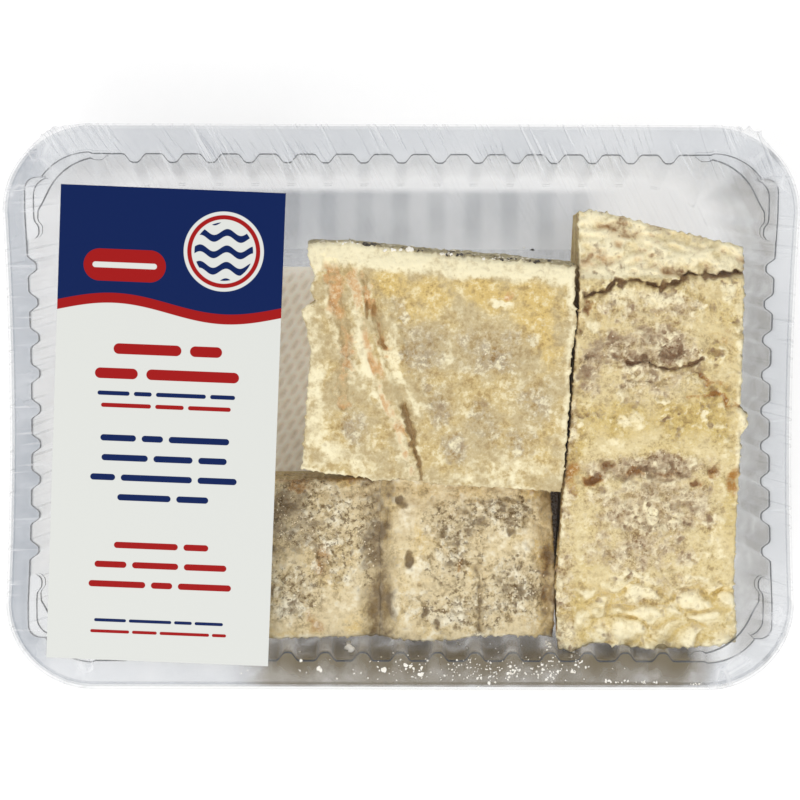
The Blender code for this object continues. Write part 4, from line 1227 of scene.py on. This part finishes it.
salt_finish = speckled("salt_crystal", 1.5, rgb(232, 214, 174), rgb(252, 244, 224), Roughness=0.5, IOR=1.54)
strew = salt_tree()
salt_pieces = []
for seed, name in enumerate(("centre_cutlet", "right_cutlet", "left_cutlet", "middle_cutlet")):
    grains = bpy.data.objects.new("salt_on_" + name, bpy.data.objects[name].data.copy())
    bpy.context.collection.objects.link(grains)
    settle(grains, strew, Material=salt_finish, Seed=seed)
    salt_pieces.append(grains)
with bpy.context.temp_override(active_object=salt_pieces[0], selected_editable_objects=salt_pieces):
    bpy.ops.object.join()
salt = salt_pieces[0]
salt.name = "salt_grains"
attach(salt, "root")


# ---------------------------------------------------------------- crumbs
# Salt and flesh that broke off the cutlets lie on the near rim and in the flutes below it, as
# flat white crumbs. Flecks of dark skin and salt cling along the far edge of the top cutlet.
CRUMBS = (                        # place, reach, number and size of each group
    ((-14.5, -69.6), (0.6, 0.3), 4, 2.6), ((-23, -74.2), (1.6, 0.7), 4, 1.3),
    ((-28.5, -70.6), (1, 0.6), 2, 1.1), ((-4.2, -74.3), (0.4, 0.3), 2, 1.7),
    ((3.7, -67.9), (1.6, 0.8), 4, 1.2), ((4.3, -74), (2.6, 1.2), 9, 1.2),
    ((16.4, -68.9), (1.2, 0.7), 3, 1.1), ((24.3, -75.7), (3, 1.6), 8, 0.8),
    ((32.3, -74.8), (3.2, 1.2), 10, 1), ((42.4, -68.2), (1.6, 0.8), 6, 1),
    ((43, -74.6), (5.5, 2.2), 34, 0.8), ((48.5, -72.2), (3, 2.4), 24, 0.7),
    ((59.7, -77.3), (5, 0.5), 18, 0.7), ((68, -77.6), (4, 0.4), 8, 0.6), ((80, -77.8), (7, 0.4), 8, 0.5),
    ((16, -73.8), (34, 3.2), 170, 0.5),
)
FLECKS = (
    ((-9, 46.1), (2.4, 0.15), 7, 1.4), ((6, 44.4), (2, 0.2), 3, 0.9), ((14.5, 43.3), (2.6, 0.2), 6, 1.1),
    ((30, 42.2), (2.6, 0.2), 5, 1), ((38.5, 41.5), (3, 0.2), 8, 1.2),
)
SALT_LUMPS = (
    ((-16, 46.6), (6, 0.2), 8, 0.8), ((0, 44.7), (5, 0.2), 14, 1.2), ((12, 43.5), (4, 0.2), 9, 1),
    ((26, 42.3), (7, 0.2), 12, 0.8),
)
BROKEN = 0.9                      # how far a lump's faces are pushed out of true
DROP_FROM = 60.0


def crumb_tree():
    """Geometry Nodes that set a small broken lump on each point, at the point's own size."""
    tree, given = open_tree("set_crumbs", {"Seed": 0, "Broken": BROKEN})
    lump = add(tree, "GeometryNodeMeshIcoSphere", {"Radius": 0.5, "Subdivisions": 2}).outputs[0]
    turn = drawn_vector(tree, (0.0, 0.0, 0.0), (0.0, 0.0, FULL_TURN), given["Seed"])
    lumps = set_on(tree, given["Geometry"], lump, turn, kept(tree, "size", vector=True))
    real = add(tree, "GeometryNodeRealizeInstances", {0: lumps}).outputs[0]
    place = add(tree, "GeometryNodeInputPosition").outputs[0]
    wires = {"Vector": place, "Scale": 1.1 / MM, "Detail": 1.0}
    push = add(tree, "ShaderNodeTexNoise", wires).outputs["Color"]
    push = add(tree, "ShaderNodeVectorMath", {0: push, 1: (0.5, 0.5, 0.5)}, operation="SUBTRACT").outputs[0]
    push = add(tree, "ShaderNodeVectorMath", {0: push, 1: (1.0, 1.0, 0.12)}, operation="MULTIPLY").outputs[0]
    push = scaled(tree, push, calc(tree, "MULTIPLY", given["Broken"], MM))
    return close_tree(tree, given, shifted(tree, real, push))


set_crumbs = crumb_tree()
bpy.context.view_layer.update()
GROUNDS = [BVHTree.FromObject(bpy.data.objects[name], bpy.context.evaluated_depsgraph_get())
           for name in ("clear_tray", "centre_cutlet", "lower_cutlet")]


def make_crumbs(name, groups, finish, seed, flat):
    """Lumps set down where a plumb line meets the tray or a cutlet."""
    draw = np.random.default_rng(seed)
    points, sizes = [], []
    for (x, y), (reach_x, reach_y), number, size in groups:
        for _ in range(number):
            at_x, at_y = draw.normal(x, reach_x * 0.6), draw.normal(y, reach_y * 0.6)
            across = size * draw.uniform(0.45, 1.15)
            start = Vector((at_x, at_y, DROP_FROM)) * MM
            hits = [ground.ray_cast(start, Vector((0.0, 0.0, -1.0)))[0] for ground in GROUNDS]
            level = max(hit.z for hit in hits if hit is not None) / MM
            thick = min(across * 0.7, flat if level > RIM_Z - 0.8 else across)
            points.append((at_x, at_y, level + thick * 0.45))
            sizes.append((across * MM, across * draw.uniform(0.6, 1.0) * MM, thick * MM))
    crumbs = new_piece(name, points, [], finish)
    keep_values(crumbs, size=sizes)
    settle(crumbs, set_crumbs, Material=finish, Seed=seed)
    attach(crumbs, "root")


crumb_finish = speckled("salt_crumb", 1.2, rgb(232, 224, 206), rgb(255, 254, 250), Roughness=0.6, IOR=1.54)
fleck_finish = speckled("dark_skin", 0.9, rgb(30, 27, 26), rgb(92, 82, 68), Roughness=0.5, IOR=1.45)
make_crumbs("loose_crumbs", CRUMBS + SALT_LUMPS, crumb_finish, 3, 0.26)
make_crumbs("skin_flecks", FLECKS, fleck_finish, 5, 0.8)


# ---------------------------------------------------------------- film
# Stretch film is drawn over the rim, down the walls and under the base. Fine white lines across each rim and
# crinkles over the corners are painted highlights of light caught in its wrinkles, and it bunches into pleats
# over the corners, with a tuft at two of them.
FILM_TOP = 50.45
FILM_SIDE_Z = 45.0
FILM_BASE = 0.9
HEM_Z = 0.42
HEM = ((0.72, HEM_Z), (0.77, 0.12), (0.86, 0.1), (0.98, 0.12))      # share of the foot, and height
INSETS = (0.0, 0.5, 1.2, 2.2, 3.5, 5.0, 6.5, 8.0, 10.0, 13.0, 17.0, 22.0, 28.0, 35.0, 44.0, 55.0, 66.0)
FILM_STATION = 1.5
FILM_CLEAR = 0.012                # how dense the film looks over the food, and over the rim
FILM_RIM = 0.07
TUFTS = ((98.5, 78.0, 3.0), (-98.0, 77.0, 1.8))       # place and height of each tuft
TUFT_REACH = 18.0
SIDE_STEPS = 14
CORE = (FLOOR[0] - FLOOR_RADIUS, FLOOR[1] - FLOOR_RADIUS)


def film_stations():
    """Stations all round the film: (rim point, foot point, outward direction)."""
    quarter = []
    half_long = int(CORNER_X / FILM_STATION)
    half_short = int(CORNER_Y / FILM_STATION)
    for i in range(half_long):
        share = (i + 0.5) / half_long
        quarter.append(((CORNER_X * share, HALF_WIDTH), (CORE[0] * share, FLOOR[1]), (0.0, 1.0)))
    for degrees in np.arange(89.0, 0.0, -2.0):
        ray = (math.cos(math.radians(degrees)), math.sin(math.radians(degrees)))
        quarter.append(((CORNER_X + CORNER_RADIUS * ray[0], CORNER_Y + CORNER_RADIUS * ray[1]),
                        (CORE[0] + FLOOR_RADIUS * ray[0], CORE[1] + FLOOR_RADIUS * ray[1]), ray))
    for i in range(half_short):
        share = 1.0 - (i + 0.5) / half_short
        y_rim, y_foot = CORNER_Y * share, CORE[1] * share
        quarter.append(((HALF_LENGTH - bow(y_rim), y_rim), (FLOOR[0] - bow(y_foot), y_foot), (1.0, 0.0)))
    return [[(signs[0] * x, signs[1] * y) for x, y in station] for station, signs in all_round(quarter)]


def film_column(rim, foot, out, reach, corner):
    """One column of the film, from the hem to near the top's middle: each point's place and its
    distance from the edge. Pleats swell it, most at a corner, and a tuft stands out."""
    tuft = sum(height * math.exp(-((rim.x - x) ** 2 + (rim.y - y) ** 2) / TUFT_REACH)
               for x, y, height in TUFTS)
    pleat = noise.noise(Vector((reach / 2.6, 0.0, 81.0)))
    fine = noise.noise(Vector((reach / 1.1, 0.0, 83.0)))
    for share, z in HEM:
        yield (foot.x * share, foot.y * share, z), 120.0
    for step in range(SIDE_STEPS + 1):
        share = step / SIDE_STEPS
        here = foot.lerp(rim, share)
        swell = (0.5 * pleat + 0.3 * fine) * (0.4 + corner) * math.sin(math.pi * share)
        swell += tuft * smooth((share - 0.75) / 0.25) * (0.6 + 0.8 * fine)
        swell = min(swell, 0.2 + tuft)
        z = FILM_BASE + (FILM_SIDE_Z - FILM_BASE) * share
        yield (here.x + out.x * swell, here.y + out.y * swell, z), 50.0 * (1.0 - share) + 8.0
    crinkle = tuft * (0.5 + fine)
    for share, z, along in ((0.8, 47.5, 4.0), (0.5, 49.5 + 0.3 * crinkle, 1.5)):
        yield (rim.x + out.x * crinkle * share, rim.y + out.y * crinkle * share, z), along
    for inset in INSETS:
        here = rim - out * (0.35 + inset)
        far = rim * (1.0 - (inset + 0.35) / HALF_WIDTH)
        if inset > 20.0:
            here = far
        elif inset > 8.0:
            here = here.lerp(far, smooth((inset - 8.0) / 12.0))
        raised = (0.16 * pleat + 0.1 * fine) * (1.0 + 2.2 * corner) * math.exp(-inset / 9.0)
        raised += 0.06 * noise.noise(Vector((here.x / 16.0, here.y / 16.0, 85.0)))
        z = FILM_TOP + raised * smooth(inset / 1.5 + 0.2) - 0.25 * smooth(1.0 - inset / 0.8)
        yield (here.x, here.y, z), inset


def make_film(finish):
    ring = film_stations()
    points, pull, columns = [], [], []
    reach = 0.0
    for before, (rim, foot, out) in zip(ring[:1] + ring, ring):
        reach += math.dist(before[0], rim)
        corner = float(abs(rim[0]) > CORNER_X and abs(rim[1]) > CORNER_Y)
        column = []
        for place, along in film_column(Vector(rim), Vector(foot), Vector(out), reach, corner):
            column.append(len(points))
            points.append(place)
            pull.append((reach, along, corner))
        columns.append(column)
    faces = []
    pairs = list(zip(columns, columns[1:] + columns[:1]))
    for left, right in pairs:
        for a in range(len(left) - 1):
            faces.append((left[a + 1], right[a + 1], right[a], left[a]))
    for height, end in ((FILM_TOP, -1), (HEM_Z, 0)):
        middle = len(points)
        points.append((0.0, 0.0, height))
        pull.append((0.0, 80.0, 0.0))
        for left, right in pairs:
            faces.append((middle, right[end], left[end]) if end else (middle, left[end], right[end]))
    film = new_piece("stretch_film", points, faces, finish)
    keep_values(film, pull=pull)
    return film


film_finish, tree, shader = new_material("stretch_film", Roughness=0.15, IOR=1.5, Specular_IOR_Level=0.3)
place = place_on(tree)
pull, axes = axes_of(tree, kept(tree, "pull", vector=True)), axes_of(tree, place)


def drawn(run_x, run_y, width, length, low, high):
    """Fine lines of painted highlight on the film that run one way, about this wide and long in millimetres.
    """
    across = calc(tree, "MULTIPLY_ADD", axes["X"], -run_y, calc(tree, "MULTIPLY", axes["Y"], run_x))
    along = calc(tree, "MULTIPLY_ADD", axes["X"], run_x, calc(tree, "MULTIPLY", axes["Y"], run_y))
    wires = {0: calc(tree, "MULTIPLY", across, 1.0 / (width * MM)),
             1: calc(tree, "MULTIPLY", along, 1.0 / (length * MM))}
    at = add(tree, "ShaderNodeCombineXYZ", wires).outputs[0]
    lines = add(tree, "ShaderNodeTexNoise", {"Vector": at, "Scale": 1.0, "Detail": 1.0}).outputs[0]
    return remap(tree, lines, low, high)


# The white streaks are painted highlights: glints of light on the film's wrinkles across the rims and its
# crinkles over the corners.
patch = remap(tree, grain(tree, place, 26.0, 1.0), 0.32, 0.55, 0.2, 1.0)
far_rim = calc(tree, "MULTIPLY", remap(tree, axes["Y"], 0.06, 0.072, 0.15, 1.0), patch,
               remap(tree, axes["Y"], 0.03, 0.048), 0.7)
slanting = calc(tree, "MULTIPLY", drawn(0.45, -0.89, 0.8, 20.0, 0.55, 0.69), far_rim)
short_rims = calc(tree, "MAXIMUM", remap(tree, axes["X"], -0.098, -0.104),
                  remap(tree, axes["X"], 0.1, 0.105, 0.0, 0.8))
level = calc(tree, "MULTIPLY", drawn(1.0, 0.06, 1.1, 18.0, 0.56, 0.72), short_rims, 0.55)
wires = {"Vector": place, "Scale": 1.0 / (9.0 * MM)}
creases = add(tree, "ShaderNodeTexVoronoi", wires, feature="DISTANCE_TO_EDGE").outputs[0]
some = remap(tree, grain(tree, place, 9.0), 0.45, 0.65)
at_corner = calc(tree, "MULTIPLY", pull["Z"], remap(tree, pull["Y"], 16.0, 6.0))
corner_glint = calc(tree, "MULTIPLY", remap(tree, creases, 0.16, 0.0, 0.0, 0.55), at_corner, some)
painted_glint = calc(tree, "MAXIMUM", slanting, level, corner_glint)
clear = calc(tree, "ADD", remap(tree, pull["Y"], 9.0, 0.0, FILM_CLEAR, FILM_RIM),
             calc(tree, "MULTIPLY", at_corner, 0.06), edge_on(tree, 0.3, 3.0, 0.25))
feed(shader, Base_Color=blend(tree, painted_glint, rgb(226, 229, 234), rgb(253, 253, 254)),
     Alpha=calc(tree, "MULTIPLY_ADD", painted_glint, 0.5, clear))
roughen(tree, shader, grain(tree, place, 7.0, 1.0), 0.4, 0.0005)
film = make_film(film_finish)
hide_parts("film")
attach(film, "root")


# ---------------------------------------------------------------- film's seam
# Under the base the film's ends are folded over each other and welded into one milky panel,
# which closes the hem's middle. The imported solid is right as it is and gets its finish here.
seam_finish, tree, shader = new_material("welded_film", Roughness=0.3, IOR=1.5)
wires = {"Vector": place_on(tree), "Scale": 90.0, "Distortion": 3.0}
welds = add(tree, "ShaderNodeTexWave", wires).outputs["Fac"]
feed(shader, Base_Color=blend(tree, welds, rgb(214, 217, 221), rgb(240, 241, 244)),
     Alpha=remap(tree, welds, 0.2, 0.8, 0.08, 0.16))
seam = frame["nodes"]["film_seam"]
seam.data.materials.clear()
seam.data.materials.append(seam_finish)


# ---------------------------------------------------------------- label
# A coated paper label lies on the film. Its print is plain: a navy head with a red wave under
# it, a round badge with three waves, a red lozenge, and rows of bars where words would stand.
LABEL_SIZE = (62.7, 134.0)
LABEL_THICK = 0.2
LABEL_CENTRE = (-66.2, -4.9)
LABEL_TURN = math.radians(-2.2)
LABEL_TOP = 51.06
LABEL_CELLS = (30, 60)
BADGE = (46.0, 117.0)
INK_EDGE = 0.08                   # how softly the print's edges end
NAVY, RED, PAPER = rgb(4, 30, 84), rgb(158, 18, 18), rgb(218, 220, 216)
ROWS = (                          # colour, level, height, gap and lengths of the bars in each row
    (RED, 88.6, 3.0, 2.4, (19, 9)), (RED, 81.6, 3.0, 2.4, (12, 26)),
    (NAVY, 76.0, 1.2, 1.2, (9, 5, 14, 7)), (RED, 72.6, 1.2, 1.2, (14, 8, 12)),
    (NAVY, 63.4, 1.8, 1.6, (10, 6, 17)), (NAVY, 57.8, 1.8, 1.6, (13, 11, 8)),
    (NAVY, 52.2, 1.8, 1.6, (7, 20, 11)), (NAVY, 46.6, 1.8, 1.6, (15, 9)),
    (RED, 33.0, 1.8, 1.6, (18, 7)), (RED, 27.4, 1.8, 1.6, (9, 13, 12)), (RED, 21.8, 1.8, 1.6, (16, 6, 15)),
    (NAVY, 11.4, 0.9, 0.8, (9, 12, 5, 8)), (RED, 8.2, 0.9, 0.8, (11, 7, 14, 4)),
)


def make_label(finish):
    points, sheet = [], []
    count_u, count_v = LABEL_CELLS
    turn_cos, turn_sin = math.cos(LABEL_TURN), math.sin(LABEL_TURN)
    for level in (0.0, -LABEL_THICK):
        for i in range(count_u + 1):
            for j in range(count_v + 1):
                x, y = LABEL_SIZE[0] * (i / count_u - 0.5), LABEL_SIZE[1] * (j / count_v - 0.5)
                wave = 0.07 * noise.noise(Vector((x / 25.0, y / 25.0, 91.0)))
                points.append((LABEL_CENTRE[0] + x * turn_cos - y * turn_sin,
                               LABEL_CENTRE[1] + x * turn_sin + y * turn_cos, LABEL_TOP + level + wave))
                sheet.append((i / count_u, j / count_v))
    label = new_piece("paper_label", points, sheet_faces(count_u, count_v), finish, smooth=False)
    layer_uv = label.data.uv_layers.new(name="sheet")
    for loop in label.data.loops:
        layer_uv.data[loop.index].uv = sheet[loop.vertex_index]
    return label


def length_of(tree, dx, dy):
    """How far apart two points are that differ by this much."""
    squares = calc(tree, "ADD", calc(tree, "MULTIPLY", dx, dx), calc(tree, "MULTIPLY", dy, dy))
    return calc(tree, "SQRT", squares)


def bar_group():
    """A printed bar: 1 inside a box with round ends, in millimetres on the sheet."""
    titles = ("Across", "Up", "Left", "Right", "Middle", "Height")
    inputs = [(title, "NodeSocketFloat", None) for title in titles]
    tree, given, result = new_group("printed_bar", inputs, [("Ink", "NodeSocketFloat")])
    half = calc(tree, "MULTIPLY", given["Height"], 0.5)
    nearest = calc(tree, "MAXIMUM", given["Across"], calc(tree, "ADD", given["Left"], half))
    nearest = calc(tree, "MINIMUM", nearest, calc(tree, "SUBTRACT", given["Right"], half))
    away = length_of(tree, calc(tree, "SUBTRACT", given["Across"], nearest),
                     calc(tree, "SUBTRACT", given["Up"], given["Middle"]))
    tree.links.new(remap(tree, calc(tree, "SUBTRACT", half, away), -0.05, 0.05), result["Ink"])
    return tree


label_finish, tree, shader = new_material("coated_paper", Roughness=0.5, IOR=1.5, Specular_IOR_Level=0.08)
bar = bar_group()
sheet = axes_of(tree, add(tree, "ShaderNodeUVMap", uv_map="sheet").outputs[0])
across = calc(tree, "MULTIPLY", sheet["X"], LABEL_SIZE[0])
up = calc(tree, "MULTIPLY", sheet["Y"], LABEL_SIZE[1])


def printed(left, right, middle, height):
    """The ink of one bar."""
    wires = {"Across": across, "Up": up, "Left": left, "Right": right, "Middle": middle, "Height": height}
    return add(tree, "ShaderNodeGroup", wires, node_tree=bar).outputs["Ink"]


def above_wave(level, sway, length):
    """How far up the sheet a point is above a wavy line."""
    swing = calc(tree, "SINE", calc(tree, "MULTIPLY", across, 2.0 * math.pi / length))
    return calc(tree, "SUBTRACT", up, calc(tree, "ADD", calc(tree, "MULTIPLY", swing, sway), level))


def disc(radius):
    """The ink of a disc in the badge's place."""
    away = length_of(tree, calc(tree, "SUBTRACT", across, BADGE[0]), calc(tree, "SUBTRACT", up, BADGE[1]))
    return remap(tree, calc(tree, "SUBTRACT", radius, away), -INK_EDGE, INK_EDGE)


def row(middle, height, gap, words):
    """A centred row of bars as long as its words."""
    inks = []
    left = (LABEL_SIZE[0] - sum(words) - gap * (len(words) - 1)) / 2.0
    for length in words:
        inks.append(printed(left, left + length, middle, height))
        left += length + gap
    return calc(tree, "MAXIMUM", *inks)


ink = blend(tree, remap(tree, above_wave(99.0, 2.4, 62.7), -INK_EDGE, INK_EDGE), PAPER, RED)
ink = blend(tree, remap(tree, above_wave(101.8, 2.4, 62.7), -INK_EDGE, INK_EDGE), ink, NAVY)
for radius, colour in ((11.2, PAPER), (10.2, RED), (9.0, PAPER)):
    ink = blend(tree, disc(radius), ink, colour)
waves = remap(tree, calc(tree, "PINGPONG", above_wave(110.0, 0.9, 7.5), 2.3), 1.25, 1.4)
ink = blend(tree, calc(tree, "MULTIPLY", waves, disc(8.2)), ink, NAVY)
ink = blend(tree, printed(7.0, 30.0, 112.0, 9.0), ink, RED)
ink = blend(tree, printed(9.5, 27.5, 112.0, 1.6), ink, PAPER)
for colour, *bars in ROWS:
    ink = blend(tree, row(*bars), ink, colour)
pulp = grain(tree, place_on(tree), 0.8, 3.0)
feed(shader, Base_Color=ink, Roughness=remap(tree, pulp, 0.3, 0.7, 0.36, 0.5))
roughen(tree, shader, pulp, 0.08, 0.0001)
label = make_label(label_finish)
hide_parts("label")
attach(label, "root")
